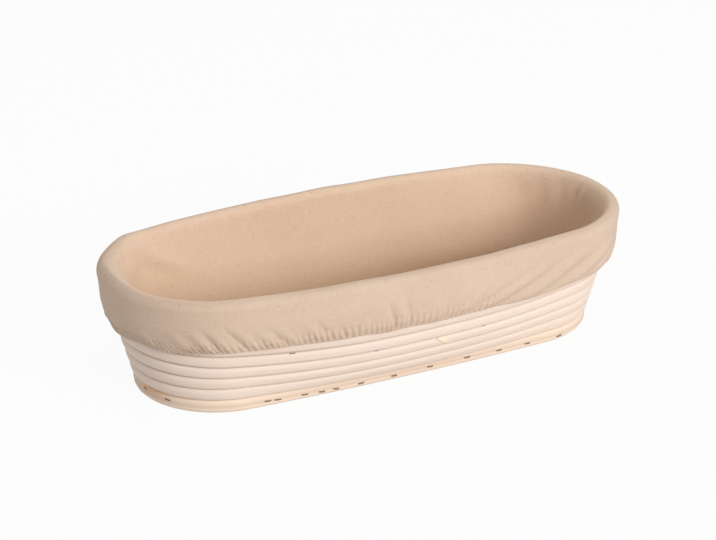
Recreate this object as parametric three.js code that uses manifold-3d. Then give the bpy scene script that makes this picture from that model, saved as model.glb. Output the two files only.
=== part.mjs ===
// A long oval proofing basket: rattan cane wound up from a foot ring and stapled turn to turn, with a cloth
// liner folded over its rim and drawn in under it by an elastic.
// Millimetres, +Z up, +X along the length, the origin at the middle of the underside.
import * as THREE from 'three';
import { mergeVertices } from 'three/addons/utils/BufferGeometryUtils.js';
import Module from 'manifold-3d';

// Cane
const CANE_DIAMETER = 7.6;
const FOOT_DIAMETER = 9.4;
const TURN_GAP = 0.4;
const FOOT_FLAT = 0.5;
const WALL_TURNS = 9;

// Plan of the basket, outside the cane. The end ease is half the width less the end radius.
const FOOT_LENGTH = 308.4;
const FOOT_WIDTH = 109;
const FOOT_END_EASE = 2.9;
const RIM_LENGTH = 346.8;
const RIM_WIDTH = 155.4;
const RIM_END_EASE = 9;

// Flare of the wall: 1 is a straight slant, more flares low down and stands up straighter above.
const END_FLARE = 1;
const SIDE_FLARE = 2.4;

// Winding: the front half of each turn lies level and the back half climbs. Ends are shaved to wedges.
const LEVEL_SHARE = 0.5;
const WEDGE_INSET = 0.125;
const BASE_WEDGE = 0.85;
const CORE_TIP = 2.2;
const SPLICE_TURN = 3.263;
const SCARF_LENGTH = 10;
const SPLICE_GAP = 0.5;
const FOOT_JOINT_TURN = 0.75;

// Staples
const STAPLE_CROWN = 5;
const STAPLE_WIRE = 1;
const STAPLE_SINK = 0.1;
const FOOT_STAPLE_LEG = 15;
const FRONT_FOOT_STAPLES = [
  0.008, 0.034, 0.1174, 0.1268, 0.1519, 0.168, 0.1815, 0.2057, 0.2379, 0.2737, 0.3114, 0.3445, 0.3745, 0.4088,
];
const FRONT_FOOT_HEIGHTS = [4.4, 4.4, 4.2, 3.8, 3.5, 3, 3, 3.1, 3.3, 4, 4.4, 3.9, 3.7, 3];
const BACK_FOOT_STAPLES = 14;
const BACK_FOOT_HEIGHT = 3;
const BACK_FOOT_SPAN = [0.487, 0.95];
const TURN_STAPLE_LEG = 11.5;
const WALL_STAPLE_LEAN = 0.55;
const STAPLE_CLEARANCE = 0.3;
const WALL_STAPLE_TURNS = [
  1.58, 1.82, 2.56, 2.7, 2.86, 3.23, 3.284, 3.308, 3.8, 4.192, 4.7, 5.3, 5.9, 6.6, 7.3, 8.1,
];
const BASE_STAPLES = 5;
const BASE_STAPLE_START = 0.72;
const BASE_STAPLE_INSET = 1.2;

// Liner
const LINER_THICKNESS = 0.8;
const LINER_CLEARANCE = 0.6;
const PANEL_GAP = 0.4;
const HEM_LEVEL = 5.5;
const CASING_HEIGHT = 5.6;
const CASING_LIP = 1.4;
const ELASTIC_THICKNESS = 0.5;
const FOLD_COUNT = 18;
const FOLD_DEPTH = 1.1;
const SKIRT_BELLY = 2.4;
const BELLY_SHARES = [0.35, 0.7];

// Facets
const STEPS_PER_TURN = 24;
const END_STEPS = 4;
const LEAST_STEP = 0.2;
const CANE_SIDES = 8;
const WALL_MARKS = 48;
const STEPS_PER_FOLD = 4;

// Worked out from the sizes above
const radius = CANE_DIAMETER / 2;
const footRadius = FOOT_DIAMETER / 2;
const pitch = CANE_DIAMETER + TURN_GAP;
const firstStep = radius + footRadius + TURN_GAP;
const footHeight = footRadius - FOOT_FLAT;
const baseHeight = radius - FOOT_FLAT;
const endShare = END_STEPS / (STEPS_PER_TURN / 4);
const facetReach = Math.sqrt(((2 * Math.PI) / CANE_SIDES) / Math.sin((2 * Math.PI) / CANE_SIDES));
const flatReach = facetReach * Math.cos(Math.PI / CANE_SIDES);
const foot = ovalOf(FOOT_LENGTH / 2 - footRadius, FOOT_WIDTH / 2 - footRadius, FOOT_END_EASE);
const rim = ovalOf(RIM_LENGTH / 2 - radius, RIM_WIDTH / 2 - radius, RIM_END_EASE);
const wallSlant = firstStep + (WALL_TURNS - 1) * pitch;
const leastFlare = Math.min(rim.a - foot.a, rim.b - foot.b, rim.e - foot.e);
const wallRise = Math.sqrt(wallSlant ** 2 - leastFlare ** 2);

const wasm = await Module();
wasm.setup();

// Plan: an oval of four tangent arcs, with half length a, half width b and end radius e.
function ovalOf(a, b, ease) {
  return { a, b, e: b - ease };
}

function grown(oval, by) {
  return { a: oval.a + by, b: oval.b + by, e: oval.e + by };
}

// Point and outward normal of an oval. Turn 0 is the left end and the front comes first, so it runs
// counter-clockwise seen from above. Each quarter spends its first steps on the end arc.
function ovalAt(turn, { a, b, e }) {
  const quarters = (turn - Math.floor(turn)) * 4;
  const quarter = Math.min(Math.floor(quarters), 3);
  const along = quarter % 2 === 0 ? quarters - quarter : quarter + 1 - quarters;
  const right = quarter === 1 || quarter === 2 ? 1 : -1;
  const back = quarter >= 2 ? 1 : -1;
  const sideRadius = ((a - e) ** 2 + b ** 2 - e ** 2) / (2 * (b - e));
  const meeting = Math.atan2(sideRadius - b, a - e);
  const onEnd = along <= endShare;
  const sideAngle = meeting + ((Math.PI / 2 - meeting) * (along - endShare)) / (1 - endShare);
  const angle = onEnd ? (meeting * along) / endShare : sideAngle;
  const x = onEnd ? a - e + e * Math.cos(angle) : sideRadius * Math.cos(angle);
  const y = onEnd ? e * Math.sin(angle) : sideRadius * Math.sin(angle) - (sideRadius - b);
  return {
    point: new THREE.Vector2(right * x, back * y),
    normal: new THREE.Vector2(right * Math.cos(angle), back * Math.sin(angle)),
  };
}

// Turns at equal distances along an oval.
function evenTurns(shares, oval) {
  const samples = Array.from({ length: 4 * STEPS_PER_TURN }, (_, i) => {
    const { x, y } = ovalAt(i / (4 * STEPS_PER_TURN), oval).point;
    return new THREE.Vector3(x, y, 0);
  });
  const curve = new THREE.CatmullRomCurve3(samples, true);
  return shares.map((share) => curve.getUtoTmapping(share));
}

// Frame of a cane in the floor: the next turn lies outwards, and the free side faces up.
function floorFrame(turn, offset, height) {
  const { point, normal } = ovalAt(turn, grown(foot, offset));
  const stack = new THREE.Vector3(normal.x, normal.y, 0);
  return {
    centre: new THREE.Vector3(point.x, point.y, height),
    along: new THREE.Vector3(-normal.y, normal.x, 0),
    stack,
    side: new THREE.Vector3(0, 0, 1),
  };
}

// The wall's oval at a share of its height.
function wallOval(share) {
  const left = 1 - share;
  return {
    a: THREE.MathUtils.lerp(foot.a, rim.a, 1 - left ** END_FLARE),
    b: THREE.MathUtils.lerp(foot.b, rim.b, 1 - left ** SIDE_FLARE),
    e: THREE.MathUtils.lerp(foot.e, rim.e, share),
  };
}

// Marks up the wall through the middles of the turns, from the foot ring to the rim, with the way travelled
// square to the turns.
function markedLine(turn) {
  const marks = Array.from({ length: WALL_MARKS + 1 }, (_, i) => {
    const share = i / WALL_MARKS;
    const { point, normal } = ovalAt(turn, wallOval(share));
    return {
      point: new THREE.Vector3(point.x, point.y, footHeight + wallRise * share),
      normal: new THREE.Vector3(normal.x, normal.y, 0),
      travel: 0,
    };
  });
  for (let i = 1; i <= WALL_MARKS; i += 1) {
    const step = marks[i].point.clone().sub(marks[i - 1].point);
    const out = step.dot(marks[i].normal);
    marks[i].travel = marks[i - 1].travel + Math.hypot(out, step.z);
    marks[i].stack = marks[i].normal.clone().multiplyScalar(out).setZ(step.z).normalize();
  }
  marks[0].stack = marks[1].stack;
  return marks;
}

const wallLines = new Map();

function wallLine(turn) {
  const place = (turn - Math.floor(turn)).toFixed(6);
  if (!wallLines.has(place)) {
    wallLines.set(place, markedLine(turn));
  }
  return wallLines.get(place);
}

// Frame of a cane in the wall: the next turn lies up the slant, and the free side faces out of the basket.
// Level 0 is the foot ring and each level is one turn higher.
function wallFrame(turn, level) {
  const marks = wallLine(turn);
  const share = (firstStep + (level - 1) * pitch) / wallSlant;
  const travel = share * marks.at(-1).travel;
  const found = marks.findIndex((mark) => mark.travel >= travel);
  const upper = found > 0 ? found : WALL_MARKS;
  const [from, to] = [marks[upper - 1], marks[upper]];
  const part = (travel - from.travel) / (to.travel - from.travel);
  const centre = from.point.clone().lerp(to.point, part);
  const normal = from.normal.clone().lerp(to.normal, part).normalize();
  const along = new THREE.Vector3(-normal.y, normal.x, 0);
  const side = along.clone().cross(from.stack.clone().lerp(to.stack, part)).normalize();
  return { centre, along, side, stack: side.clone().cross(along) };
}

// Faceted section of a cane, of the same area as a round one, planed flat where it would reach below
// the foot.
function caneRing({ centre, side, stack }, width, height) {
  return Array.from({ length: CANE_SIDES }, (_, i) => {
    const angle = ((i + 0.5) * 2 * Math.PI) / CANE_SIDES;
    const out = (Math.cos(angle) * facetReach * width) / 2;
    const up = (Math.sin(angle) * facetReach * height) / 2;
    const point = centre.clone().addScaledVector(side, out).addScaledVector(stack, up);
    point.z = Math.max(point.z, 0);
    return point;
  });
}

// Slants the end of a cane across the band that is seen from outside.
function scarfed(ring, { centre, along }, across, diameter) {
  return ring.map((point) => {
    const share = point.clone().sub(centre).dot(across) / diameter;
    return point.addScaledVector(along, -SCARF_LENGTH * share);
  });
}

// Turns at which a cane is given a section: its two ends and the regular steps between them.
function turnSteps(start, end) {
  const clear = LEAST_STEP / STEPS_PER_TURN;
  const turns = [start];
  for (let i = Math.ceil(start * STEPS_PER_TURN); i <= end * STEPS_PER_TURN; i += 1) {
    const turn = i / STEPS_PER_TURN;
    if (turn - start > clear && end - turn > clear) {
      turns.push(turn);
    }
  }
  return [...turns, end];
}

// Wedges end on a regular step, so that their flats lie along those of the turns beside them.
function onStep(turn) {
  return Math.floor(turn * STEPS_PER_TURN) / STEPS_PER_TURN;
}

// Closed skin over rings of points, joined end to end or capped at both ends.
function skin(rings, closed = false) {
  const count = rings[0].length;
  const points = rings.flat();
  const faces = [];
  const last = closed ? rings.length : rings.length - 1;
  for (let r = 0; r < last; r += 1) {
    const from = r * count;
    const to = ((r + 1) % rings.length) * count;
    for (let i = 0; i < count; i += 1) {
      const next = (i + 1) % count;
      faces.push(from + i, from + next, to + next, from + i, to + next, to + i);
    }
  }
  if (!closed) {
    const end = (rings.length - 1) * count;
    for (let i = 1; i < count - 1; i += 1) {
      faces.push(0, i + 1, i, end, end + i, end + i + 1);
    }
  }
  const corner = (i) => points[faces[i]];
  let volume = 0;
  for (let i = 0; i < faces.length; i += 3) {
    volume += corner(i).dot(corner(i + 1).clone().cross(corner(i + 2)));
  }
  if (volume < 0) {
    faces.reverse();
  }
  const geometry = new THREE.BufferGeometry().setFromPoints(points);
  geometry.setIndex(faces);
  return geometry;
}

// Least distance between the points of a wound cane and those of its other turns.
function leastGap(sections) {
  let least = Infinity;
  sections.forEach(({ turn, ring }, i) => {
    for (const other of sections.slice(i + 1).filter((item) => item.turn - turn > 0.5)) {
      for (const point of ring) {
        for (const far of other.ring) {
          least = Math.min(least, point.distanceTo(far));
        }
      }
    }
  });
  return least;
}

function windingOf(name, start, end, ringAt) {
  const sections = turnSteps(start, end).map((turn) => ({ turn, ring: ringAt(turn) }));
  console.log(`${name}: least gap to itself ${leastGap(sections).toFixed(2)} mm`);
  return skin(sections.map((section) => section.ring));
}

function climbAt(turn) {
  return THREE.MathUtils.smoothstep(turn - Math.floor(turn), LEVEL_SHARE, 1);
}

// Level of the wall's winding at a turn, and how much of a full cane's height is left there. The first climb
// starts as a wedge on the foot ring, and the last turn runs out as a wedge under the level rim.
function wallTurn(turn) {
  const climb = climbAt(turn);
  if (turn < 1) {
    return { level: 0.5 + climb / 2, share: climb };
  }
  if (turn > WALL_TURNS + LEVEL_SHARE) {
    return { level: WALL_TURNS + climb / 2, share: 1 - climb };
  }
  return { level: Math.floor(turn) + climb, share: 1 };
}

// A wedge narrows as it thins, so that it stays within a round cane.
function wallRing(turn) {
  const { level, share } = wallTurn(turn);
  const width = CANE_DIAMETER * Math.sqrt(share);
  return caneRing(wallFrame(turn, level), width, share * pitch - TURN_GAP);
}

// Offset of the floor's spiral from the foot ring. Its last turn is shaved to a wedge that closes the oval.
function floorTurn(turn) {
  const wedge = Math.max(turn, 0);
  return { offset: -firstStep + pitch * (turn - wedge / 2), share: 1 - wedge };
}

function floorCentre(turn) {
  return floorFrame(turn, floorTurn(turn).offset, baseHeight).centre;
}

function floorRing(turn) {
  const { offset, share } = floorTurn(turn);
  return caneRing(floorFrame(turn, offset, baseHeight), CANE_DIAMETER, share * pitch - TURN_GAP);
}

// Floor: a straight core, shaved to fit the slot that is left, and the spiral wound round it, as cane
// can't be bent back on itself.
const leastBend = radius + TURN_GAP + CORE_TIP / 2;
const floorTurnsFit = Math.floor((foot.e - firstStep - leastBend) / pitch);
const floorStart = -floorTurnsFit - 1 + (2 + endShare) / 4;

function baseCore() {
  const inset = ((1 - endShare) / 4) * (CANE_DIAMETER / (foot.a - foot.e));
  const places = turnSteps(endShare / 4 + inset, (2 - endShare) / 4 - inset);
  return skin(places.map((place) => {
    const front = floorCentre(place - floorTurnsFit);
    const back = floorCentre(-place - floorTurnsFit);
    const slot = front.distanceTo(back) - CANE_DIAMETER - 2 * TURN_GAP;
    const frame = {
      centre: front.clone().lerp(back, 0.5),
      along: new THREE.Vector3(1, 0, 0),
      side: new THREE.Vector3(0, 0, 1),
      stack: new THREE.Vector3(0, -1, 0),
    };
    return caneRing(frame, CANE_DIAMETER, Math.min(slot, CANE_DIAMETER));
  }));
}

// Foot ring: one loop whose ends meet on a scarf at the back, between two staples.
const backShares = Array.from({ length: BACK_FOOT_STAPLES }, (_, i) => {
  return THREE.MathUtils.lerp(...BACK_FOOT_SPAN, i / (BACK_FOOT_STAPLES - 1));
});
const footStapleTurns = evenTurns([...FRONT_FOOT_STAPLES, ...backShares], foot);
const spliceGapTurns = ((1 - endShare) / 4) * (SPLICE_GAP / (foot.a - foot.e));

function footRing() {
  const start = FOOT_JOINT_TURN + spliceGapTurns / 2;
  const end = FOOT_JOINT_TURN + 1 - spliceGapTurns / 2;
  return windingOf('foot_ring', start, end, (turn) => {
    const frame = floorFrame(turn, 0, footHeight);
    const ring = caneRing(frame, FOOT_DIAMETER, FOOT_DIAMETER);
    return turn === start || turn === end ? scarfed(ring, frame, frame.side, FOOT_DIAMETER) : ring;
  });
}

// Wall: two lengths of cane, spliced on a scarf that shows on the front.
function wallCane(name, start, end) {
  return windingOf(name, start, end, (turn) => {
    if (Math.abs(turn - SPLICE_TURN) > spliceGapTurns) {
      return wallRing(turn);
    }
    const frame = facetFrame(turn, (place) => wallFrame(place, wallTurn(place).level));
    return scarfed(caneRing(frame, CANE_DIAMETER, CANE_DIAMETER), frame, frame.stack, CANE_DIAMETER);
  });
}

// U-shaped staple, crown outwards: x along the crown, y along the legs. A pocket is the same shape, grown.
function stapleGeometry(leg, grow, open) {
  const half = STAPLE_CROWN / 2;
  const outer = half + grow;
  const inner = half - STAPLE_WIRE - grow;
  const tip = leg + grow;
  const bend = STAPLE_WIRE + grow;
  const outline = [[-outer, -open], [outer, -open], [outer, tip], [inner, tip],
    [inner, bend], [-inner, bend], [-inner, tip], [-outer, tip]];
  const shape = new THREE.Shape(outline.map(([x, y]) => new THREE.Vector2(x, y)));
  const depth = STAPLE_WIRE + 2 * grow;
  return new THREE.ExtrudeGeometry(shape, { depth, bevelEnabled: false }).translate(0, 0, -depth / 2);
}

function stapleAt(name, { centre, along }, legs, leg, open) {
  const across = along.clone().cross(legs);
  const place = new THREE.Matrix4().makeBasis(along, legs, across).setPosition(centre);
  return { name, leg, open, place };
}

// Frame part of the way along a straight facet of a cane, between its sections.
function facetFrame(turn, frameAt) {
  const start = onStep(turn);
  const [from, to] = [frameAt(start), frameAt(start + 1 / STEPS_PER_TURN)];
  const part = (turn - start) * STEPS_PER_TURN;
  const centre = from.centre.clone().lerp(to.centre, part);
  const along = to.centre.clone().sub(from.centre).normalize();
  const side = along.clone().cross(from.stack.clone().lerp(to.stack, part)).normalize();
  return { centre, along, side, stack: side.clone().cross(along) };
}

function numbered(name, index) {
  return `${name}_${String(index + 1).padStart(2, '0')}`;
}

// Foot staples go in level, low on the ring, through to the floor.
function footStaples() {
  return footStapleTurns.map((turn, i) => {
    const height = FRONT_FOOT_HEIGHTS[i] ?? BACK_FOOT_HEIGHT;
    const frame = facetFrame(turn, (place) => floorFrame(place, 0, height));
    frame.centre.addScaledVector(frame.stack, footRadius * flatReach - STAPLE_SINK);
    const legs = frame.stack.clone().negate();
    return stapleAt(numbered('foot_staple', i), frame, legs, FOOT_STAPLE_LEG, STAPLE_CLEARANCE);
  });
}

// Floor staples join a turn of the spiral to the one inside it, about half a turn further in each time.
function baseStaples() {
  const step = (floorTurnsFit - BASE_STAPLE_INSET - BASE_STAPLE_START) / (BASE_STAPLES - 1);
  const turns = Array.from({ length: BASE_STAPLES }, (_, i) => -BASE_STAPLE_START - i * step);
  return turns.map((turn, i) => {
    const frame = facetFrame(turn, (place) => floorFrame(place, floorTurn(place).offset, baseHeight));
    frame.centre.addScaledVector(frame.stack, radius * flatReach - STAPLE_SINK);
    const legs = frame.stack.clone().negate();
    return stapleAt(numbered('base_staple', i), frame, legs, TURN_STAPLE_LEG, STAPLE_CLEARANCE);
  });
}

// Wall staples go down through a turn into the one below, their crowns in the groove under the next turn.
function wallStaples() {
  const reach = facetReach * Math.cos(Math.PI / CANE_SIDES) * Math.SQRT2;
  return WALL_STAPLE_TURNS.map((turn, i) => {
    const frame = facetFrame(turn, (place) => wallFrame(place, wallTurn(place).level));
    frame.centre.addScaledVector(frame.side, radius * WALL_STAPLE_LEAN);
    frame.centre.addScaledVector(frame.stack, radius * (reach - WALL_STAPLE_LEAN) - STAPLE_SINK);
    const legs = frame.stack.clone().negate();
    return stapleAt(numbered('wall_staple', i), frame, legs, TURN_STAPLE_LEG, STAPLE_WIRE);
  });
}

// Solids for joining and cutting
function solidOf(geometry) {
  const bare = geometry.clone();
  bare.deleteAttribute('normal');
  bare.deleteAttribute('uv');
  const { attributes, index } = mergeVertices(bare);
  return new wasm.Manifold(new wasm.Mesh({
    numProp: 3,
    vertProperties: new Float32Array(attributes.position.array),
    triVerts: new Uint32Array(index.array),
  }));
}

function geometryOf(solid) {
  const { vertProperties, triVerts } = solid.getMesh();
  const geometry = new THREE.BufferGeometry();
  geometry.setAttribute('position', new THREE.BufferAttribute(vertProperties, 3));
  geometry.setIndex(new THREE.BufferAttribute(triVerts, 1));
  return geometry;
}

// Point round a turn of the wall, at an angle from its outer side towards the turn above.
function roundTurn(turn, level, angle, away) {
  const { centre, side, stack } = wallFrame(turn, level);
  const reach = radius * facetReach + away;
  centre.addScaledVector(side, reach * Math.cos(angle));
  return centre.addScaledVector(stack, reach * Math.sin(angle));
}

// Liner, inside: the floor, the turn up into the wall, the wall and the inner half of the fold over the rim.
// Each ring is a distance out from the cane, so the same list gives both faces of the cloth.
function cupRings(away) {
  const turns = Array.from({ length: STEPS_PER_TURN }, (_, i) => i / STEPS_PER_TURN);
  const floorTop = baseHeight + radius + away;
  const onFloor = (offset, height) => turns.map((turn) => floorFrame(turn, offset, height).centre);
  const onWall = (level, angle) => turns.map((turn) => roundTurn(turn, level, Math.PI - angle, away));
  const wallLevels = [1.1, 2.8, 4.6, 6.6, WALL_TURNS];
  const rolls = [Math.PI / 8, (3 * Math.PI) / 8, Math.PI / 2];
  return [
    onFloor(-firstStep - pitch, floorTop),
    onFloor(-firstStep, floorTop),
    onFloor(-firstStep + pitch * 0.4, floorTop + radius * 0.4),
    ...wallLevels.map((level) => onWall(level, 0)),
    ...rolls.map((angle) => onWall(WALL_TURNS, angle)),
  ];
}

function linerCup() {
  const outer = cupRings(LINER_CLEARANCE);
  const inner = cupRings(LINER_CLEARANCE + LINER_THICKNESS).reverse();
  return skin([...outer, ...inner]);
}

// Liner, outside: from the crest of the rim down to the hem, where a casing holds the elastic. Between
// the two the cloth bellies out. The folds deepen towards the hem and lift only the outer face.
const casingDepth = ELASTIC_THICKNESS + 2 * STAPLE_CLEARANCE;
const casingLevel = HEM_LEVEL + CASING_HEIGHT / pitch;
const lipLevel = HEM_LEVEL + CASING_LIP / pitch;
const hemSteps = FOLD_COUNT * STEPS_PER_FOLD;
const hemShares = Array.from({ length: hemSteps }, (_, i) => i / hemSteps);
const hemTurns = evenTurns(hemShares, wallOval(HEM_LEVEL / WALL_TURNS));

function skirtRing(turn, fold) {
  const atLevel = (level, away) => {
    const { centre, side } = wallFrame(turn, level);
    return centre.addScaledVector(side, radius + away);
  };
  const atRim = (angle, away) => roundTurn(turn, WALL_TURNS, angle, away);
  const under = LINER_CLEARANCE;
  const over = LINER_CLEARANCE + LINER_THICKNESS;
  const crest = Math.PI / 2 - PANEL_GAP / (radius + under);
  const rolls = [crest, (3 * Math.PI) / 8, Math.PI / 8];
  const [low, high] = BELLY_SHARES.map((share) => THREE.MathUtils.lerp(casingLevel, WALL_TURNS, share));
  const lift = fold * FOLD_DEPTH;
  return [
    ...rolls.map((angle) => atRim(angle, under)),
    atLevel(high, under + SKIRT_BELLY),
    atLevel(low, under + SKIRT_BELLY),
    atLevel(casingLevel, under),
    atLevel(casingLevel, under + casingDepth),
    atLevel(lipLevel, under + casingDepth),
    atLevel(lipLevel, under),
    atLevel(HEM_LEVEL, under),
    atLevel(HEM_LEVEL, over + casingDepth + lift),
    atLevel(casingLevel, over + casingDepth + lift),
    atLevel(casingLevel + (CASING_LIP / pitch), over + casingDepth / 2 + lift / 2),
    atLevel(low, over + SKIRT_BELLY + lift / 3),
    atLevel(high, over + SKIRT_BELLY),
    ...rolls.toReversed().map((angle) => atRim(angle, over)),
  ];
}

function linerSkirt() {
  const wave = (i) => (1 - Math.cos((2 * Math.PI * i) / STEPS_PER_FOLD)) / 2;
  return skin(hemTurns.map((turn, i) => skirtRing(turn, wave(i))), true);
}

function linerElastic() {
  const inside = LINER_CLEARANCE + STAPLE_CLEARANCE;
  const margin = STAPLE_CLEARANCE / pitch;
  const corners = [[lipLevel + margin, inside], [lipLevel + margin, inside + ELASTIC_THICKNESS],
    [casingLevel - margin, inside + ELASTIC_THICKNESS], [casingLevel - margin, inside]];
  return skin(hemTurns.map((turn) => corners.map(([level, away]) => {
    const { centre, side } = wallFrame(turn, level);
    return centre.addScaledVector(side, radius + away);
  })), true);
}

// Assembly
const finishes = {
  cane: { color: 0xe6cfb2, roughness: 0.6, metalness: 0 },
  footCane: { color: 0xdfc096, roughness: 0.6, metalness: 0 },
  staple: { color: 0x4c4740, roughness: 0.45, metalness: 0.9 },
  cloth: { color: 0xd6bb9c, roughness: 0.95, metalness: 0 },
  elastic: { color: 0xefe9dd, roughness: 0.8, metalness: 0 },
};

function meshOf(name, geometry, finish) {
  const plain = geometry.index ? geometry : mergeVertices(geometry);
  plain.computeVertexNormals();
  const mesh = new THREE.Mesh(plain, new THREE.MeshStandardMaterial(finish));
  mesh.name = name;
  return mesh;
}

const staples = [...footStaples(), ...baseStaples(), ...wallStaples()];
const pockets = wasm.Manifold.union(staples.map(({ leg, open, place }) => {
  return solidOf(stapleGeometry(leg, STAPLE_CLEARANCE, open).applyMatrix4(place));
}));

function drilled(geometry) {
  return geometryOf(solidOf(geometry).subtract(pockets));
}

const wallStart = onStep(LEVEL_SHARE + WEDGE_INSET);
const wallEnd = WALL_TURNS + onStep(1 - WEDGE_INSET);
const floorEnd = onStep(BASE_WEDGE);
const splice = spliceGapTurns / 2;
const baseCane = windingOf('base_cane', floorStart, floorEnd, floorRing);
const lowerCane = wallCane('wall_cane_lower', wallStart, SPLICE_TURN - splice);
const upperCane = wallCane('wall_cane_upper', SPLICE_TURN + splice, wallEnd);

const basket = new THREE.Group();
basket.add(
  meshOf('base_core', drilled(baseCore()), finishes.cane),
  meshOf('base_cane', drilled(baseCane), finishes.cane),
  meshOf('foot_ring', drilled(footRing()), finishes.footCane),
  meshOf('wall_cane_lower', drilled(lowerCane), finishes.cane),
  meshOf('wall_cane_upper', drilled(upperCane), finishes.cane),
);
for (const { name, leg, place } of staples) {
  const staple = meshOf(name, stapleGeometry(leg, 0, 0), finishes.staple);
  staple.applyMatrix4(place);
  basket.add(staple);
}

const liner = new THREE.Group();
liner.add(
  meshOf('liner_cup', linerCup(), finishes.cloth),
  meshOf('liner_skirt', linerSkirt(), finishes.cloth),
  meshOf('liner_elastic', linerElastic(), finishes.elastic),
);

const proofingBasket = new THREE.Group();
proofingBasket.add(basket, liner);
export default proofingBasket;
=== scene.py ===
"""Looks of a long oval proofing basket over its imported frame: wound cane, wire staples and a cloth liner.

Places round the basket are turns, from the left end and along the front first. A level is a height on the
wall, in turns of cane from the foot ring. A share is a part of the way round an oval, by length.
"""
import logging
import math
from dataclasses import astuple, dataclass, field
from enum import Enum
from typing import Any

import bpy
import numpy as np
from mathutils import Matrix


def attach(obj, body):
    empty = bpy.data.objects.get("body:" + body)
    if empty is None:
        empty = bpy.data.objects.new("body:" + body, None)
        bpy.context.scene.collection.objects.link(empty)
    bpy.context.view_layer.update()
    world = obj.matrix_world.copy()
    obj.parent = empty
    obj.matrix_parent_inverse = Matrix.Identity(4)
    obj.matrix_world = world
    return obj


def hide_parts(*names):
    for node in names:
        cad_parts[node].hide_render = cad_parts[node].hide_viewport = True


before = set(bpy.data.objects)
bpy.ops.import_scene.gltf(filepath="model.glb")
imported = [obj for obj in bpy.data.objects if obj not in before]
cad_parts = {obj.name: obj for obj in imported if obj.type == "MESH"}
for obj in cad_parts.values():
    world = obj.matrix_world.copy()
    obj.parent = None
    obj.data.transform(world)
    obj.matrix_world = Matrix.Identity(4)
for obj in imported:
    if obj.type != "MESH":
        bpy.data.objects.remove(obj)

LOG = logging.getLogger("basket")
Array = np.ndarray
Pair = tuple[float, float]
Triple = tuple[float, float, float]
Span = tuple[Pair, Pair]
Socket = bpy.types.NodeSocket
MM = 0.001
TAU = 2 * math.pi
UP = (0.0, 0.0, 1.0)


class Slot(Enum):
    """Material slots of the record that the pieces take their finish from."""

    CANE = "cane"
    FOOT_CANE = "foot_cane"
    STAPLE = "staple"
    CLOTH = "cloth"
    ELASTIC = "elastic"


class Body(Enum):
    """Bodies of the frame that pieces ride on."""

    BASKET = "basket"
    LINER = "liner"


def unit(vectors: Array) -> Array:
    """Vectors scaled to length one."""
    return vectors / np.linalg.norm(vectors, axis=-1, keepdims=True)


def smooth(value: Array, low: Any, high: Any) -> Array:
    """Goes from 0 at low to 1 at high along an s-curve."""
    share = np.clip((value - low) / (high - low), 0, 1)
    return share * share * (3 - 2 * share)


def span(value: Array, rise: Pair, fall: Pair) -> Array:
    """1 between two s-curves: one rises from 0 over the first pair, one falls to 0 over the second."""
    return smooth(value, *rise) * (1 - smooth(value, *fall))


def bell(value: Array, reach: Any, power: int = 2) -> Array:
    """A bell of height 1: e raised to minus the given power of value over reach."""
    return np.exp(-(value / reach) ** power)


def wrapped(share: Array) -> Array:
    """The shorter way round from share 0, from -0.5 to 0.5."""
    return np.mod(share + 0.5, 1.0) - 0.5


def run_of(points: Array) -> Array:
    """Running length along a line of points, from 0 at its first."""
    return np.concatenate([[0.0], np.cumsum(np.linalg.norm(np.diff(points, axis=0), axis=1))])


def near_ends(run: Array, reach: float) -> tuple[Array, Array]:
    """How near places on a run are to its start and to its end: 1 there, falling evenly to 0 at the reach."""
    return np.maximum(1 - run / reach, 0), np.maximum(1 - (run[-1] - run) / reach, 0)


def between(start: float, turns: Array, end: float, clear: float) -> Array:
    """Turns from start to end, without those closer to either than the clearance."""
    return np.concatenate([[start], turns[(turns > start + clear) & (turns < end - clear)], [end]])


def ripple(share: Array, cycles: tuple[int, int], count: int, seed: int) -> Array:
    """A closed wavy line: a sum of sines with whole numbers of cycles, of about unit height.

    Args:
        share: places round the line, from 0 to 1.
        cycles: least and most cycles of a sine.
        count: how many sines are added.
        seed: start of the random series.

    Returns:
        Heights at the places.
    """
    rng = np.random.default_rng(seed)
    waves = rng.integers(cycles[0], cycles[1] + 1, count)
    phases = rng.uniform(0, TAU, count)
    height = 0.7 * math.sqrt(2 / count)
    return height * np.sin(TAU * np.multiply.outer(share, waves) + phases).sum(-1)


@dataclass(frozen=True)
class Oval:
    """An oval of four tangent arcs; the three sizes may be arrays of the same shape."""

    half_length: Any
    half_width: Any
    end_radius: Any

    def grown(self, by: Any) -> "Oval":
        """Returns the oval that runs the given distance outside this one."""
        return Oval(self.half_length + by, self.half_width + by, self.end_radius + by)


@dataclass
class Frames:
    """Places on a cane: its centre, its run, the way to its free side and the way to the next turn."""

    centre: Array
    along: Array
    side: Array
    stack: Array


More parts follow.
